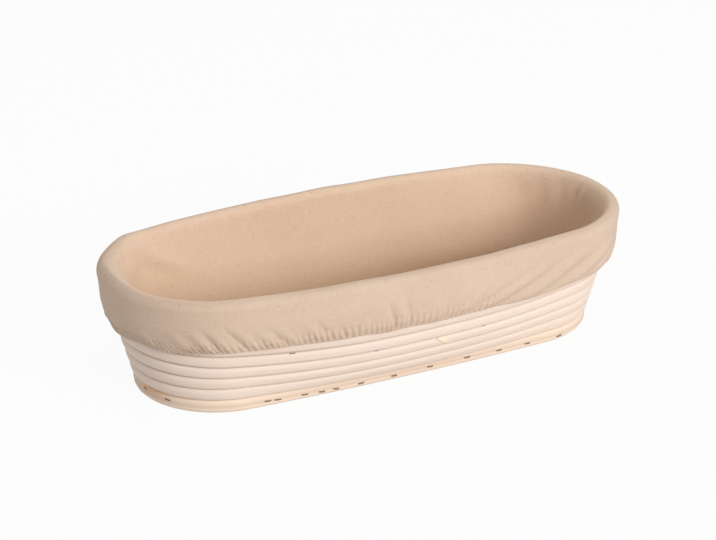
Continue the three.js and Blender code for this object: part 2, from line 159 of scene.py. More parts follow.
@dataclass(frozen=True)
class BasketPlan:
    """Sizes of the wound basket and the places on its wall, in metres.

    A slanted cut leans by the scarf, and its effect ends after the scarf's ease. An end arc takes up the end
    share of each quarter turn. The cane lies level over the level share of a turn.
    """

    cane: float = 7.6 * MM
    foot_cane: float = 9.4 * MM
    turn_gap: float = 0.4 * MM
    foot_flat: float = 0.5 * MM
    scarf: float = 10 * MM
    scarf_ease: float = 34 * MM
    wall_turns: int = 9
    foot_length: float = 308.4 * MM
    foot_width: float = 109 * MM
    foot_ease: float = 2.9 * MM
    rim_length: float = 346.8 * MM
    rim_width: float = 155.4 * MM
    rim_ease: float = 9 * MM
    side_flare: float = 2.4
    end_share: float = 4 / 6
    level_share: float = 0.5
    wall_marks: int = 48
    round_marks: int = 2000

    @property
    def radius(self) -> float:
        """Half the thickness of the wall's cane."""
        return self.cane / 2

    @property
    def pitch(self) -> float:
        """Way from one turn to the next."""
        return self.cane + self.turn_gap

    @property
    def first_step(self) -> float:
        """Way from the foot ring to the turn beside it."""
        return (self.cane + self.foot_cane) / 2 + self.turn_gap

    @property
    def foot(self) -> Oval:
        """Middle line of the foot ring."""
        width = (self.foot_width - self.foot_cane) / 2
        return Oval((self.foot_length - self.foot_cane) / 2, width, width - self.foot_ease)

    @property
    def rim(self) -> Oval:
        """Middle line of the topmost turn."""
        width = (self.rim_width - self.cane) / 2
        return Oval((self.rim_length - self.cane) / 2, width, width - self.rim_ease)

    @property
    def slant(self) -> float:
        """Way up the wall from the foot ring to the rim."""
        return self.first_step + (self.wall_turns - 1) * self.pitch

    @property
    def rise(self) -> float:
        """Height from the foot ring's middle to the rim's: the slant less the least flare, as squares."""
        flare = min(np.subtract(astuple(self.rim), astuple(self.foot)))
        return math.sqrt(self.slant ** 2 - flare ** 2)

    @property
    def foot_height(self) -> float:
        """Height of the foot ring's middle."""
        return self.foot_cane / 2 - self.foot_flat

    @property
    def base_height(self) -> float:
        """Height of the middle of the floor's cane."""
        return self.radius - self.foot_flat

    def outline(self, turn: Array, oval: Oval) -> tuple[Array, Array]:
        """Points of an oval and its outward normals: a quarter runs over its end arc, then over its side arc.

        Args:
            turn: places round the oval, in turns.
            oval: the oval, of sizes that go with the places.

        Returns:
            Points and unit normals in plan, two numbers each.
        """
        a, b, e = oval.half_length, oval.half_width, oval.end_radius
        quarters = (turn - np.floor(turn)) * 4
        quarter = np.minimum(np.floor(quarters), 3)
        run = np.where(quarter % 2 == 0, quarters - quarter, quarter + 1 - quarters)
        right = np.where((quarter == 1) | (quarter == 2), 1.0, -1.0)
        back = np.where(quarter >= 2, 1.0, -1.0)
        side_radius = ((a - e) ** 2 + b ** 2 - e ** 2) / (2 * (b - e))
        meeting = np.arctan2(side_radius - b, a - e)
        on_end = run <= self.end_share
        on_side = meeting + (math.pi / 2 - meeting) * (run - self.end_share) / (1 - self.end_share)
        angle = np.where(on_end, meeting * run / self.end_share, on_side)
        x = np.where(on_end, a - e + e * np.cos(angle), side_radius * np.cos(angle))
        y = np.where(on_end, e * np.sin(angle), side_radius * np.sin(angle) - (side_radius - b))
        normal = np.stack([right * np.cos(angle), back * np.sin(angle)], -1)
        return np.stack([right * x, back * y], -1), normal

    def even_turns(self, shares: Array, oval: Oval) -> Array:
        """Turns at given shares of the way round an oval, by inverting its running length.

        Args:
            shares: parts of the way round.
            oval: the oval.

        Returns:
            Turns, from 0 to 1.
        """
        turns = np.linspace(0, 1, self.round_marks + 1)
        way = run_of(self.outline(turns, oval)[0])
        return np.interp(np.mod(shares, 1.0) * way[-1], way, turns)

    def wall_oval(self, share: Array) -> Oval:
        """Middle line of the wall at a share of its height: the sides flare early, the ends evenly.

        Args:
            share: parts of the height, from 0 at the foot ring to 1 at the rim.

        Returns:
            The oval, with arrays for sizes.
        """
        foot, rim = self.foot, self.rim
        early = 1 - np.maximum(1 - share, 0) ** self.side_flare
        return Oval(foot.half_length + (rim.half_length - foot.half_length) * share,
                    foot.half_width + (rim.half_width - foot.half_width) * early,
                    foot.end_radius + (rim.end_radius - foot.end_radius) * share)

    def floor_frames(self, turn: Array, offset: Array, height: Any) -> Frames:
        """Frames of a cane in the floor; the next turn lies outwards.

        Args:
            turn: places round the floor.
            offset: distances out from the foot ring's middle line.
            height: heights of the cane's middle.

        Returns:
            A frame per place.
        """
        points, normals = self.outline(turn, self.foot.grown(offset))
        flat = np.zeros(len(turn))
        stack = np.column_stack([normals, flat])
        along = np.column_stack([-normals[:, 1], normals[:, 0], flat])
        side = np.broadcast_to(UP, stack.shape)
        return Frames(np.column_stack([points, flat + height]), along, side, stack)

    def wall_frames(self, turn: Array, level: Array) -> Frames:
        """Frames of the cane in the wall, at equal ways up the slant measured square to the turns.

        Args:
            turn: places round the wall, one per row.
            level: levels on the wall, several per row.

        Returns:
            Frames with a row per turn and a column per level.
        """
        share = np.linspace(0, 1, self.wall_marks + 1)[None, :]
        plan, normals = self.outline(turn[:, None], self.wall_oval(share))
        height = np.broadcast_to(self.foot_height + self.rise * share, plan.shape[:2])
        marks = np.concatenate([plan, height[..., None]], -1)
        normals = np.concatenate([normals, np.zeros(plan.shape[:2] + (1,))], -1)
        steps = np.diff(marks, axis=1)
        out = (steps * normals[:, 1:]).sum(-1)
        travel = np.concatenate([np.zeros((len(turn), 1)), np.cumsum(np.hypot(out, steps[..., 2]), 1)], 1)
        stack = normals[:, 1:] * out[..., None]
        stack[..., 2] = steps[..., 2]
        stack = unit(np.concatenate([stack[:, :1], stack], 1))
        target = (self.first_step + (level - 1) * self.pitch) / self.slant * travel[:, -1:]
        below = np.clip((travel[:, None, :] < target[:, :, None]).sum(-1) - 1, 0, self.wall_marks - 1)
        row = np.arange(len(turn))[:, None]
        part = ((target - travel[row, below]) / (travel[row, below + 1] - travel[row, below]))[..., None]
        centre, normal, up = (grid[row, below] * (1 - part) + grid[row, below + 1] * part
                              for grid in (marks, normals, stack))
        normal = unit(normal)
        along = np.stack([-normal[..., 1], normal[..., 0], np.zeros_like(normal[..., 0])], -1)
        side = unit(np.cross(along, up))
        return Frames(centre, along, side, np.cross(side, along))

    def wall_line(self, turn: Array, level: Array) -> Frames:
        """Frames in the wall at one level per turn."""
        grid = self.wall_frames(turn, level[:, None])
        return Frames(grid.centre[:, 0], grid.along[:, 0], grid.side[:, 0], grid.stack[:, 0])


@dataclass
class Lattice:
    """Square faces over rows of points, each row closed on itself."""

    rows: int
    columns: int

    def corners(self) -> tuple[Array, Array]:
        """Corners of the faces; the column after the last one is the first, counted on.

        Returns:
            Rows and columns of the points, with four of each per face.
        """
        grids = np.meshgrid(np.arange(self.rows - 1), np.arange(self.columns), indexing="ij")
        r, c = (grid.ravel() for grid in grids)
        return np.stack([r + 1, r + 1, r, r], 1), np.stack([c, c + 1, c + 1, c], 1)

    def faces(self) -> Array:
        """Point numbers of each face."""
        row, column = self.corners()
        return row * self.columns + column % self.columns


@dataclass
class Piece:
    """A finished mesh: points, faces, a laid-out map in metres and values per point."""

    name: str
    points: Array
    faces: list[list[int]]
    lay: Array
    values: dict[str, Array] = field(default_factory=dict)

    def sections(self) -> Array:
        """Points of a cane, section by section; a change to them changes the piece."""
        return self.points.reshape(*self.values["tip"].shape, 3)

    def add(self, finish: "Finish", body: Body, nodes: list[str]) -> bpy.types.Object:
        """Makes the object, dresses it and lets it ride in place of its CAD nodes.

        Args:
            finish: the finish that it gets.
            body: the body that it rides on.
            nodes: CAD nodes that it stands for.

        Returns:
            The new object.
        """
        mesh = bpy.data.meshes.new(self.name)
        mesh.from_pydata(self.points.tolist(), [], self.faces)
        layer = mesh.uv_layers.new(name="Lay")
        layer.data.foreach_set("uv", np.ascontiguousarray(self.lay, np.float32).ravel())
        for name, value in self.values.items():
            attribute = mesh.attributes.new(name, "FLOAT", "POINT")
            attribute.data.foreach_set("value", np.ascontiguousarray(value, np.float32).ravel())
        mesh.shade_smooth()
        mesh.materials.append(finish.material())
        piece = bpy.data.objects.new(self.name, mesh)
        bpy.context.scene.collection.objects.link(piece)
        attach(piece, body.value)
        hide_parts(*nodes)
        LOG.info("%s: %d points, stands for %d nodes", self.name, len(self.points), len(nodes))
        return piece


def tube(name: str, frames: Frames, half_width: Array, half_height: Array, squareness: float = 3.2,
         sides: int = 18) -> Piece:
    """A cane: a rounded section carried along a line, closed at both ends, and no lower than the ground.

    The section is a superellipse: a cosine or sine raised to 2 / squareness, times half the size.

    Args:
        name: name of the piece.
        frames: places on the line, one per section.
        half_width: half the size towards the free side, per section.
        half_height: half the size towards the next turn, per section.
        squareness: 2 is an ellipse, more is fuller at the corners.
        sides: points round a section.

    Returns:
        The piece, with its run and its way round as map, and values for contact (painted shade with some dust
        where turns touch), cut tips and stain.
    """
    angle = TAU * (np.arange(sides) + 0.5) / sides
    across, up = (np.sign(part) * np.abs(part) ** (2 / squareness) for part in (np.cos(angle), np.sin(angle)))
    points = (frames.centre[:, None] + (half_width[:, None] * across)[..., None] * frames.side[:, None]
              + (half_height[:, None] * up)[..., None] * frames.stack[:, None])
    points[..., 2] = np.maximum(points[..., 2], 0)
    count = len(frames.centre)
    lattice = Lattice(count, sides)
    rows, columns = lattice.corners()
    widest = float(half_width.max())
    lay = np.stack([run_of(frames.centre)[rows.ravel()], columns.ravel() * (TAU * widest) / sides], 1)
    caps = [list(range(sides)), list(range(count * sides - 1, (count - 1) * sides - 1, -1))]
    cap_lay = np.column_stack([np.tile(across, 2), np.tile(up, 2)]) * widest
    tip = np.zeros((count, sides))
    tip[[0, -1]] = 1
    # contact: painted shade, with some dust, on the faces that touch the next turn
    contact = np.broadcast_to(smooth(np.abs(up), 0.88, 1.0), tip.shape)
    return Piece(name, points.reshape(-1, 3), lattice.faces().tolist() + caps, np.concatenate([lay, cap_lay]),
                 {"contact": contact, "tip": tip, "stain": np.zeros(tip.shape)})


class Nodes:
    """The node tree of a material or of the world, with nodes placed and set in one call each."""

    def __init__(self, owner: bpy.types.Material | bpy.types.World) -> None:
        """Empties the owner's tree to start it anew.

        Args:
            owner: the material or the world.
        """
        self.owner = owner
        owner.use_nodes = True
        self.tree = owner.node_tree
        self.tree.nodes.clear()

    def add(self, kind: str, settings: dict[str, Any] | None = None, **inputs: Any) -> bpy.types.Node:
        """Adds a node; an input given as a socket is linked, and as a value is set.

        Args:
            kind: class of the node, without its ShaderNode prefix.
            settings: plain properties of the node.
            inputs: sockets by name, with spaces as underscores, or by number as i0, i1 and so on.

        Returns:
            The node.
        """
        node = self.tree.nodes.new(f"ShaderNode{kind}")
        for name, value in (settings or {}).items():
            setattr(node, name, value)
        for name, value in inputs.items():
            socket = node.inputs[int(name[1:]) if name[1:].isdigit() else name.replace("_", " ")]
            if isinstance(value, Socket):
                self.tree.links.new(value, socket)
            else:
                socket.default_value = value
        return node

    def math(self, operation: str, first: Any, second: Any = 0.0) -> Socket:
        """Result of a sum on one or two numbers."""
        return self.add("Math", {"operation": operation}, i0=first, i1=second).outputs[0]

    def scaled(self, value: Any, by: Any) -> Socket:
        """A number times another."""
        return self.math("MULTIPLY", value, by)

    def mix(self, share: Any, first: Any, second: Triple, blend: str = "MIX") -> Socket:
        """A colour laid over another; a plain colour gets full cover.

        Args:
            share: how far the second covers the first.
            first: the colour below.
            second: the colour above.
            blend: how they mix.

        Returns:
            The mixed colour.
        """
        under, over = ((*part, 1.0) if isinstance(part, tuple) else part for part in (first, second))
        settings = {"data_type": "RGBA", "blend_type": blend}
        return self.add("Mix", settings, i0=share, i6=under, i7=over).outputs[2]

    def ramp(self, value: Any, low: float, high: float) -> Socket:
        """Goes from 0 at low to 1 at high along an s-curve."""
        settings = {"interpolation_type": "SMOOTHSTEP"}
        return self.add("MapRange", settings, Value=value, From_Min=low, From_Max=high).outputs[0]

    def value(self, name: str) -> Socket:
        """A value that the piece holds per point."""
        return self.add("Attribute", {"attribute_name": name}).outputs["Fac"]

    def laid(self, scale: Pair) -> Socket:
        """The piece's own map, scaled along and across."""
        lay = self.add("UVMap", {"uv_map": "Lay"}).outputs["UV"]
        return self.add("Mapping", {"vector_type": "POINT"}, Vector=lay, Scale=(*scale, 1.0)).outputs[0]

    def noise(self, vector: Any, scale: float, detail: float = 3.0, roughness: float = 0.5) -> Socket:
        """A cloudy pattern from 0 to 1."""
        node = self.add("TexNoise", None, Vector=vector, Scale=scale, Detail=detail, Roughness=roughness)
        return node.outputs[0]

    def drawn(self, scale: Pair, detail: float = 2.0, roughness: float = 0.5) -> Socket:
        """A cloudy pattern on the piece's own map, with its clouds per metre along and across."""
        return self.noise(self.laid(scale), 1.0, detail, roughness)

    def bump(self, height: Any, distance: float, strength: float, normal: Any = None) -> Socket:
        """A bent normal from a height, on top of an earlier one."""
        extra = {} if normal is None else {"Normal": normal}
        return self.add("Bump", None, Height=height, Distance=distance, Strength=strength, **extra).outputs[0]

    def finish(self, **inputs: Any) -> bpy.types.Material:
        """Ends the tree in a surface shader.

        Args:
            inputs: inputs of the shader.

        Returns:
            The material.
        """
        shader = self.add("BsdfPrincipled", None, **inputs)
        self.add("OutputMaterial", None, Surface=shader.outputs[0])
        return self.owner


@dataclass(frozen=True)
class Finish:
    """What a piece's surface is made of."""

    name: str
    slot: Slot

    def material(self) -> bpy.types.Material:
        """The finish as a material, made once."""
        return bpy.data.materials.get(self.name) or self.build(Nodes(bpy.data.materials.new(self.name)))

    def build(self, nodes: Nodes) -> bpy.types.Material:
        """Makes the material from its empty tree."""
        raise NotImplementedError


@dataclass(frozen=True)
class CaneFinish(Finish):
    """Peeled rattan: long fibres, slow changes of tone, painted shade with some dust where turns touch, and
    pale cut ends.

    Fibres, pores and tones are patterns with so many spots per metre along the cane and round it.
    """

    pale: Triple = (0.757, 0.641, 0.558)
    deep: Triple = (0.70, 0.545, 0.432)
    # groove: colour of the pore lines, and of the painted shade, with some dust, where turns touch
    groove: Triple = (0.45, 0.32, 0.22)
    stain: Triple = (0.74, 0.43, 0.22)
    cut: Triple = (0.84, 0.74, 0.53)
    fibres: Pair = (14.0, 1500.0)
    pores: Pair = (60.0, 4200.0)
    tones: Pair = (9.0, 70.0)
    tone_strength: float = 0.4
    pore_strength: float = 0.2
    dust_and_shade_strength: float = 0.5
    fibre_height: float = 0.12 * MM
    pore_height: float = 0.05 * MM

    def build(self, nodes: Nodes) -> bpy.types.Material:
        """Fibres are noise drawn out along the cane; stain, painted groove shade with some dust, and cut ends
        come from the piece's values.

        Args:
            nodes: the empty tree.

        Returns:
            The material.
        """
        fibre = nodes.drawn(self.fibres, 4.0, 0.6)
        pores = nodes.drawn(self.pores)
        tone = nodes.drawn(self.tones)
        depth = nodes.math("ADD", nodes.ramp(fibre, 0.35, 0.8), nodes.ramp(tone, 0.35, 0.75))
        stained = nodes.scaled(nodes.value("stain"), nodes.ramp(tone, 0.2, 0.7))
        lines = nodes.scaled(nodes.ramp(pores, 0.62, 0.78), self.pore_strength)
        colour = nodes.mix(nodes.scaled(depth, self.tone_strength), self.pale, self.deep)
        colour = nodes.mix(lines, colour, self.groove)
        colour = nodes.mix(stained, colour, self.stain)
        # Painted shade, with some dust, in the grooves where turns touch, from the contact value
        colour = nodes.mix(nodes.scaled(nodes.value("contact"), self.dust_and_shade_strength), colour, self.groove)
        colour = nodes.mix(nodes.value("tip"), colour, self.cut)
        rough = nodes.add("MapRange", None, Value=fibre, To_Min=0.5, To_Max=0.72).outputs[0]
        normal = nodes.bump(fibre, self.fibre_height, 0.5)
        normal = nodes.bump(pores, self.pore_height, 0.4, normal)
        return nodes.finish(Base_Color=colour, Roughness=rough, Normal=normal, Specular_IOR_Level=0.3)


@dataclass(frozen=True)
class StapleFinish(Finish):
    """Dulled steel wire with brown rust in patches; patches and grain are counted per metre."""

    steel: Triple = (0.20, 0.165, 0.135)
    rust: Triple = (0.19, 0.095, 0.045)
    patches: float = 700.0
    grain: float = 2600.0
    grain_height: float = 0.03 * MM

    def build(self, nodes: Nodes) -> bpy.types.Material:
        """Rust is a blotchy noise that is also rougher and less metallic.

        Args:
            nodes: the empty tree.

        Returns:
            The material.
        """
        place = nodes.add("TexCoord").outputs["Object"]
        patch = nodes.ramp(nodes.noise(place, self.patches), 0.42, 0.62)
        metal = nodes.math("SUBTRACT", 0.85, nodes.scaled(patch, 0.6))
        rough = nodes.math("ADD", 0.38, nodes.scaled(patch, 0.4))
        normal = nodes.bump(nodes.noise(place, self.grain), self.grain_height, 0.5)
        colour = nodes.mix(patch, self.steel, self.rust)
        return nodes.finish(Base_Color=colour, Metallic=metal, Roughness=rough, Normal=normal)


@dataclass(frozen=True)
class ClothFinish(Finish):
    """Unbleached plain weave: crossing threads of uneven thickness, with dark flecks of husk.

    Slubs, clouds and husks are patterns with so many spots per metre round and down the cloth. Flecks start
    at their first number in the husk pattern, are full at the second and cover by the third.
    """

    light: Triple = (0.76, 0.568, 0.421)
    shade: Triple = (0.676, 0.485, 0.348)
    # outer: painted shade on the outside of the cloth
    outer: Triple = (0.828, 0.846, 0.884)
    # low: painted shade, darker towards the floor inside
    low: Triple = (0.92, 0.88, 0.83)
    # deep: painted shade in the turn from floor to wall and inside the right end
    deep: Triple = (0.72, 0.64, 0.55)
    fleck: Triple = (0.16, 0.095, 0.05)
    thread: float = 0.62 * MM
    slubs: Pair = (1500.0, 130.0)
    clouds: Pair = (22.0, 22.0)
    husks: Pair = (430.0, 620.0)
    flecks: tuple[Triple, ...] = ((0.655, 0.735, 0.16), (0.762, 0.795, 0.42))
    weave_height: float = 0.12 * MM
    slub_height: float = 0.16 * MM

    def build(self, nodes: Nodes) -> bpy.types.Material:
        """Threads are crossed sine waves on the cloth's own map; slubs are noise drawn out along them.

        Args:
            nodes: the empty tree.

        Returns:
            The material.
        """
        turn = TAU / self.thread
        split = nodes.add("SeparateXYZ", None, Vector=nodes.laid((turn, turn))).outputs
        weave = nodes.scaled(nodes.math("SINE", split[0]), nodes.math("SINE", split[1]))
        slub = nodes.math("ADD", nodes.drawn(self.slubs), nodes.drawn(self.slubs[::-1]))
        cloud = nodes.scaled(nodes.ramp(nodes.drawn(self.clouds, 4.0), 0.3, 0.7), 0.5)
        tone = nodes.math("ADD", nodes.ramp(slub, 0.75, 1.3), cloud)
        tone = nodes.math("ADD", tone, nodes.scaled(weave, 0.14))
        colour = nodes.mix(nodes.scaled(tone, 0.55), self.light, self.shade)
        # Painted shade: the outside, low and deep tints darken the colour by multiplying
        for name, tint in (("outer", self.outer), ("low", self.low), ("deep", self.deep)):
            colour = nodes.mix(nodes.value(name), colour, tint, "MULTIPLY")
        husk = nodes.drawn(self.husks, 1.0)
        for start, end, cover in self.flecks:
            colour = nodes.mix(nodes.scaled(nodes.ramp(husk, start, end), cover), colour, self.fleck)
        normal = nodes.bump(weave, self.weave_height, 0.45)
        normal = nodes.bump(slub, self.slub_height, 0.5, normal)
        return nodes.finish(Base_Color=colour, Roughness=0.92, Normal=normal, Sheen_Weight=0.12,
                            Sheen_Roughness=0.5, Specular_IOR_Level=0.12)


@dataclass(frozen=True)
class ElasticFinish(Finish):
    """Braided elastic, off-white."""

    light: Triple = (0.80, 0.77, 0.70)
    shade: Triple = (0.55, 0.51, 0.44)
    rib: float = 1.1 * MM
    rib_height: float = 0.15 * MM

    def build(self, nodes: Nodes) -> bpy.types.Material:
        """Braid ribs run across the band, from a sine wave along its own map.

        Args:
            nodes: the empty tree.

        Returns:
            The material.
        """
        split = nodes.add("SeparateXYZ", None, Vector=nodes.laid((TAU / self.rib, 1.0))).outputs
        rib = nodes.math("SINE", split[0])
        colour = nodes.mix(nodes.ramp(rib, -1.0, 1.0), self.shade, self.light)
        return nodes.finish(Base_Color=colour, Roughness=0.85, Normal=nodes.bump(rib, self.rib_height, 0.6))


@dataclass(frozen=True)
class Finishes:
    """All finishes of the basket."""

    cane: CaneFinish = CaneFinish("peeled_cane", Slot.CANE)
    foot_cane: CaneFinish = CaneFinish("yellow_cane", Slot.FOOT_CANE, pale=(0.835, 0.69, 0.565),
                                       deep=(0.76, 0.59, 0.455), cut=(0.76, 0.60, 0.40))
    staple: StapleFinish = StapleFinish("dulled_wire", Slot.STAPLE)
    cloth: ClothFinish = ClothFinish("unbleached_cloth", Slot.CLOTH)
    elastic: ElasticFinish = ElasticFinish("braided_elastic", Slot.ELASTIC)


@dataclass
class WoundWall:
    """The cane wound up from the foot ring: two lengths, with shaved ends and a slanted splice.

    Lifts and the wander of the edges are in levels. A wave has a share, cycles per turn and a phase.
    """

    plan: BasketPlan
    wedge_inset: float = 0.125
    splice_turn: float = 3.263
    splice_gap: float = 0.0002
    splice_reach: float = 0.03
    splice_shadow: float = 0.6 * MM
    shadow_strength: float = 0.9
    lens: float = 4.2 * MM
    lens_strength: float = 1.6
    half_width: float = 3.85 * MM
    fill: float = 0.985
    wander: float = 0.04
    waves: tuple[Triple, ...] = ((0.6, 0.83, 0.7), (0.4, 2.27, 2.1))
    left_lift: float = 0.13
    left_reach: float = 0.14
    splice_lift: float = 0.13
    splice_place: float = 0.257
    lift_fade: Pair = (5.5, 8.8)
    # Share by which the grooves' painted shade is lightened at the right, standing in for the stronger light
    # there
    painted_light_right: float = 0.55
    steps: int = 1120
    thinning: int = 4

    def edge(self, turn: Array) -> Array:
        """Level of the upper edge of the cane: level in front, climbing behind, with a slight wander.

        Args:
            turn: places along the winding.

        Returns:
            Levels.
        """
        top = self.plan.wall_turns
        whole = np.floor(turn)
        level = np.clip(whole + smooth(turn - whole, self.plan.level_share, 1.0), 0, top)
        free = span(level, (0, 0.5), (top - 0.5, top))
        wave = sum(share * np.sin(TAU * cycles * turn + phase) for share, cycles, phase in self.waves)
        return level + 0.5 + self.wander * free * wave + self.lift(turn, level)

    def lift(self, turn: Array, level: Array) -> Array:
        """How much higher the turns lie by the left end and by the splice: two bells along the turn.

        Args:
            turn: places along the winding.
            level: levels at the places.

        Returns:
            Lifts, in levels.
        """
        place = wrapped(turn)
        left = self.left_lift * (1 + level) * bell(place, self.left_reach)
        splice = self.splice_lift * bell(place - self.splice_place, self.splice_reach)
        return (left + splice * smooth(level, -0.5, 2.5)) * (1 - smooth(level, *self.lift_fade))

    def frames(self, turn: Array) -> tuple[Frames, Array]:
        """Frames midway between the cane's upper edge and its lower one, the upper edge a turn before.

        Args:
            turn: places along the winding.

        Returns:
            Frames, and half the height of the cane at each.
        """
        edges = np.column_stack([self.edge(turn - 1), self.edge(turn)])
        ends = self.plan.wall_frames(turn, edges).centre
        rise = ends[:, 1] - ends[:, 0]
        height = np.linalg.norm(rise, axis=1)
        middle = ends.mean(1)
        along = unit(np.gradient(middle, axis=0))
        side = unit(np.cross(along, rise / height[:, None]))
        return Frames(middle, along, side, np.cross(side, along)), height / 2

    def length(self, name: str, start: float, end: float, scarfs: tuple[bool, bool]) -> Piece:
        """One length of cane; its ends are shaved thin, or slanted for the splice.

        Args:
            name: name of the piece.
            start: turn at which it starts.
            end: turn at which it ends.
            scarfs: whether its start and its end are slanted.

        Returns:
            The piece, with closer sections by the splice.
        """
        plan = self.plan
        whole = np.arange(math.floor(start), math.ceil(end) + 1)
        shares = np.linspace(0, 1, self.steps, endpoint=False)
        ring = plan.even_turns(shares, plan.wall_oval(np.array(0.5)))
        turns = (whole[:, None] + ring).ravel()
        near = np.abs(turns - self.splice_turn) < self.splice_reach
        turns = turns[near | (np.arange(len(turns)) % self.thinning == 0)]
        frames, half_height = self.frames(between(start, turns, end, 0.4 / self.steps))
        share = np.clip(2 * half_height / plan.pitch, 0, 1)
        piece = tube(name, frames, self.half_width * np.sqrt(share), half_height * self.fill)
        # Painted groove shade, lightened towards the right
        piece.values["contact"] = piece.values["contact"] * self.groove_shade_fade(frames.centre)[:, None]
        self.slant(piece, frames, scarfs)
        return piece

    def groove_shade_fade(self, centre: Array) -> Array:
        """How dark the grooves' painted shade is: most at the left end, painted lighter along the front
        towards the right end, where more light falls.
        """
        return 1 - self.painted_light_right * smooth(centre[:, 0], -0.6 * self.plan.rim.half_length, 0)

    def slant(self, piece: Piece, frames: Frames, scarfs: tuple[bool, bool]) -> None:
        """Slides the points near a slanted end along the cane, by their height on the band.

        A slanted start shows a lens of bare cane, and a slanted end a thin shadow.

        Args:
            piece: the length of cane.
            frames: its sections.
            scarfs: whether its start and its end are slanted.
        """
        plan = self.plan
        grid = piece.sections()
        run = run_of(frames.centre)
        start, end = near_ends(run, plan.scarf_ease)
        weight = (start * scarfs[0] + end * scarfs[1])[:, None]
        height = ((grid - frames.centre[:, None]) * frames.stack[:, None]).sum(-1) / plan.cane
        grid -= (height * plan.scarf * weight)[..., None] * frames.along[:, None]
        bare = bell(run, self.lens) * scarfs[0]
        shadow = bell(run[-1] - run, self.splice_shadow) * scarfs[1]
        piece.values["tip"] = np.clip(self.lens_strength * (1 - 4 * height ** 2), 0, 1) * bare[:, None]
        piece.values["contact"] = np.maximum(piece.values["contact"], self.shadow_strength * shadow[:, None])

    def build(self, finishes: Finishes) -> None:
        """Makes both lengths and lets them stand for the CAD winding.

        Args:
            finishes: finishes of the basket.
        """
        start = self.plan.level_share + self.wedge_inset
        end = self.plan.wall_turns + 1 - self.wedge_inset
        gap = self.splice_gap / 2
        lower = self.length("wall_winding_lower", start, self.splice_turn - gap, (False, True))
        upper = self.length("wall_winding_upper", self.splice_turn + gap, end, (True, False))
        lower.add(finishes.cane, Body.BASKET, ["wall_cane_lower"])
        upper.add(finishes.cane, Body.BASKET, ["wall_cane_upper"])


@dataclass
class FootRing:
    """The thicker, yellower cane that the basket stands on, with a slanted joint at the back."""

    plan: BasketPlan
    joint_turn: float = 0.75
    joint_gap: float = 0.0006
    joint_clear: float = 0.001
    steps: int = 300
    squareness: float = 2.15
    stain_share: float = 0.016
    stain_reach: float = 0.016
    stain_heights: Pair = (2 * MM, 6 * MM)
    stain_strength: float = 0.85

    def build(self, wall: WoundWall, finishes: Finishes) -> None:
        """Carries a round section once round the foot, flat where it stands, with a stain by the left end.

        Args:
            wall: the winding, whose lift makes the ring taller.
            finishes: finishes of the basket.
        """
        plan = self.plan
        ring = plan.even_turns(np.linspace(0, 1, self.steps, endpoint=False), plan.foot)
        start = self.joint_turn + self.joint_gap / 2
        end = self.joint_turn + 1 - self.joint_gap / 2
        turns = between(start, np.concatenate([ring, ring + 1]), end, self.joint_clear)
        level = np.zeros(len(turns))
        taller = wall.lift(turns, level) * plan.pitch / 2
        frames = plan.floor_frames(turns, level, plan.foot_height + taller)
        half = np.full(len(turns), plan.foot_cane / 2)
        piece = tube("foot_band", frames, half + taller, half, self.squareness)
        grid = piece.sections()
        weight = sum(near_ends(run_of(frames.centre), plan.scarf_ease))
        height = (grid[..., 2] - plan.foot_height) / plan.foot_cane
        grid += (height * plan.scarf * weight[:, None])[..., None] * frames.along[:, None]
        shares = np.interp(np.mod(turns, 1.0), np.append(ring, 1.0), np.linspace(0, 1, self.steps + 1))
        stain = self.stain_strength * bell(wrapped(shares - self.stain_share), self.stain_reach)
        piece.values["stain"] = stain[:, None] * smooth(grid[..., 2], *self.stain_heights)
        # The painted groove shade on the foot stays on its upper half, where it meets the wall
        piece.values["contact"] = piece.values["contact"] * (grid[..., 2] > plan.foot_height)
        piece.add(finishes.foot_cane, Body.BASKET, ["foot_ring"])


@dataclass
class WovenFloor:
    """The floor: a flat spiral of cane round a straight core."""

    plan: BasketPlan
    turns_fit: int = 4
    wedge_end: float = 20 / 24
    fill: float = 0.985
    steps: int = 1100
    core_steps: int = 60
    sides: int = 14

    def frames(self, turn: Array) -> Frames:
        """Frames of the spiral: a turn lies a pitch further out, the wedge at its end half a pitch."""
        offset = -self.plan.first_step + self.plan.pitch * (turn - np.maximum(turn, 0) / 2)
        return self.plan.floor_frames(turn, offset, self.plan.base_height)

    def build(self, finishes: Finishes) -> None:
        """Carries a round section along the spiral, and a tapered one along the core's slot.

        Args:
            finishes: finishes of the basket.
        """
        plan = self.plan
        start = -self.turns_fit - 1 + (2 + plan.end_share) / 4
        turns = np.linspace(start, self.wedge_end, self.steps)
        half_height = (1 - np.maximum(turns, 0)) * plan.pitch / 2 * self.fill
        half_width = np.full(self.steps, plan.radius)
        spiral = tube("floor_spiral", self.frames(turns), half_width, half_height, sides=self.sides)
        spiral.add(finishes.cane, Body.BASKET, ["base_cane"])
        inset = (1 - plan.end_share) / 4 * plan.cane / (plan.foot.half_length - plan.foot.end_radius)
        places = np.linspace(plan.end_share / 4 + inset, (2 - plan.end_share) / 4 - inset, self.core_steps)
        front, back = (self.frames(turn - self.turns_fit).centre for turn in (places, -places))
        slot = np.linalg.norm(front - back, axis=1) - plan.cane - 2 * plan.turn_gap
        middle = (front + back) / 2
        along = unit(np.gradient(middle, axis=0))
        side = np.broadcast_to(UP, along.shape)
        line = Frames(middle, along, side, np.cross(along, side))
        half_width = np.full(self.core_steps, plan.radius)
        core = tube("floor_core", line, half_width, np.minimum(slot, plan.cane) / 2, sides=self.sides)
        core.add(finishes.cane, Body.BASKET, ["base_core"])


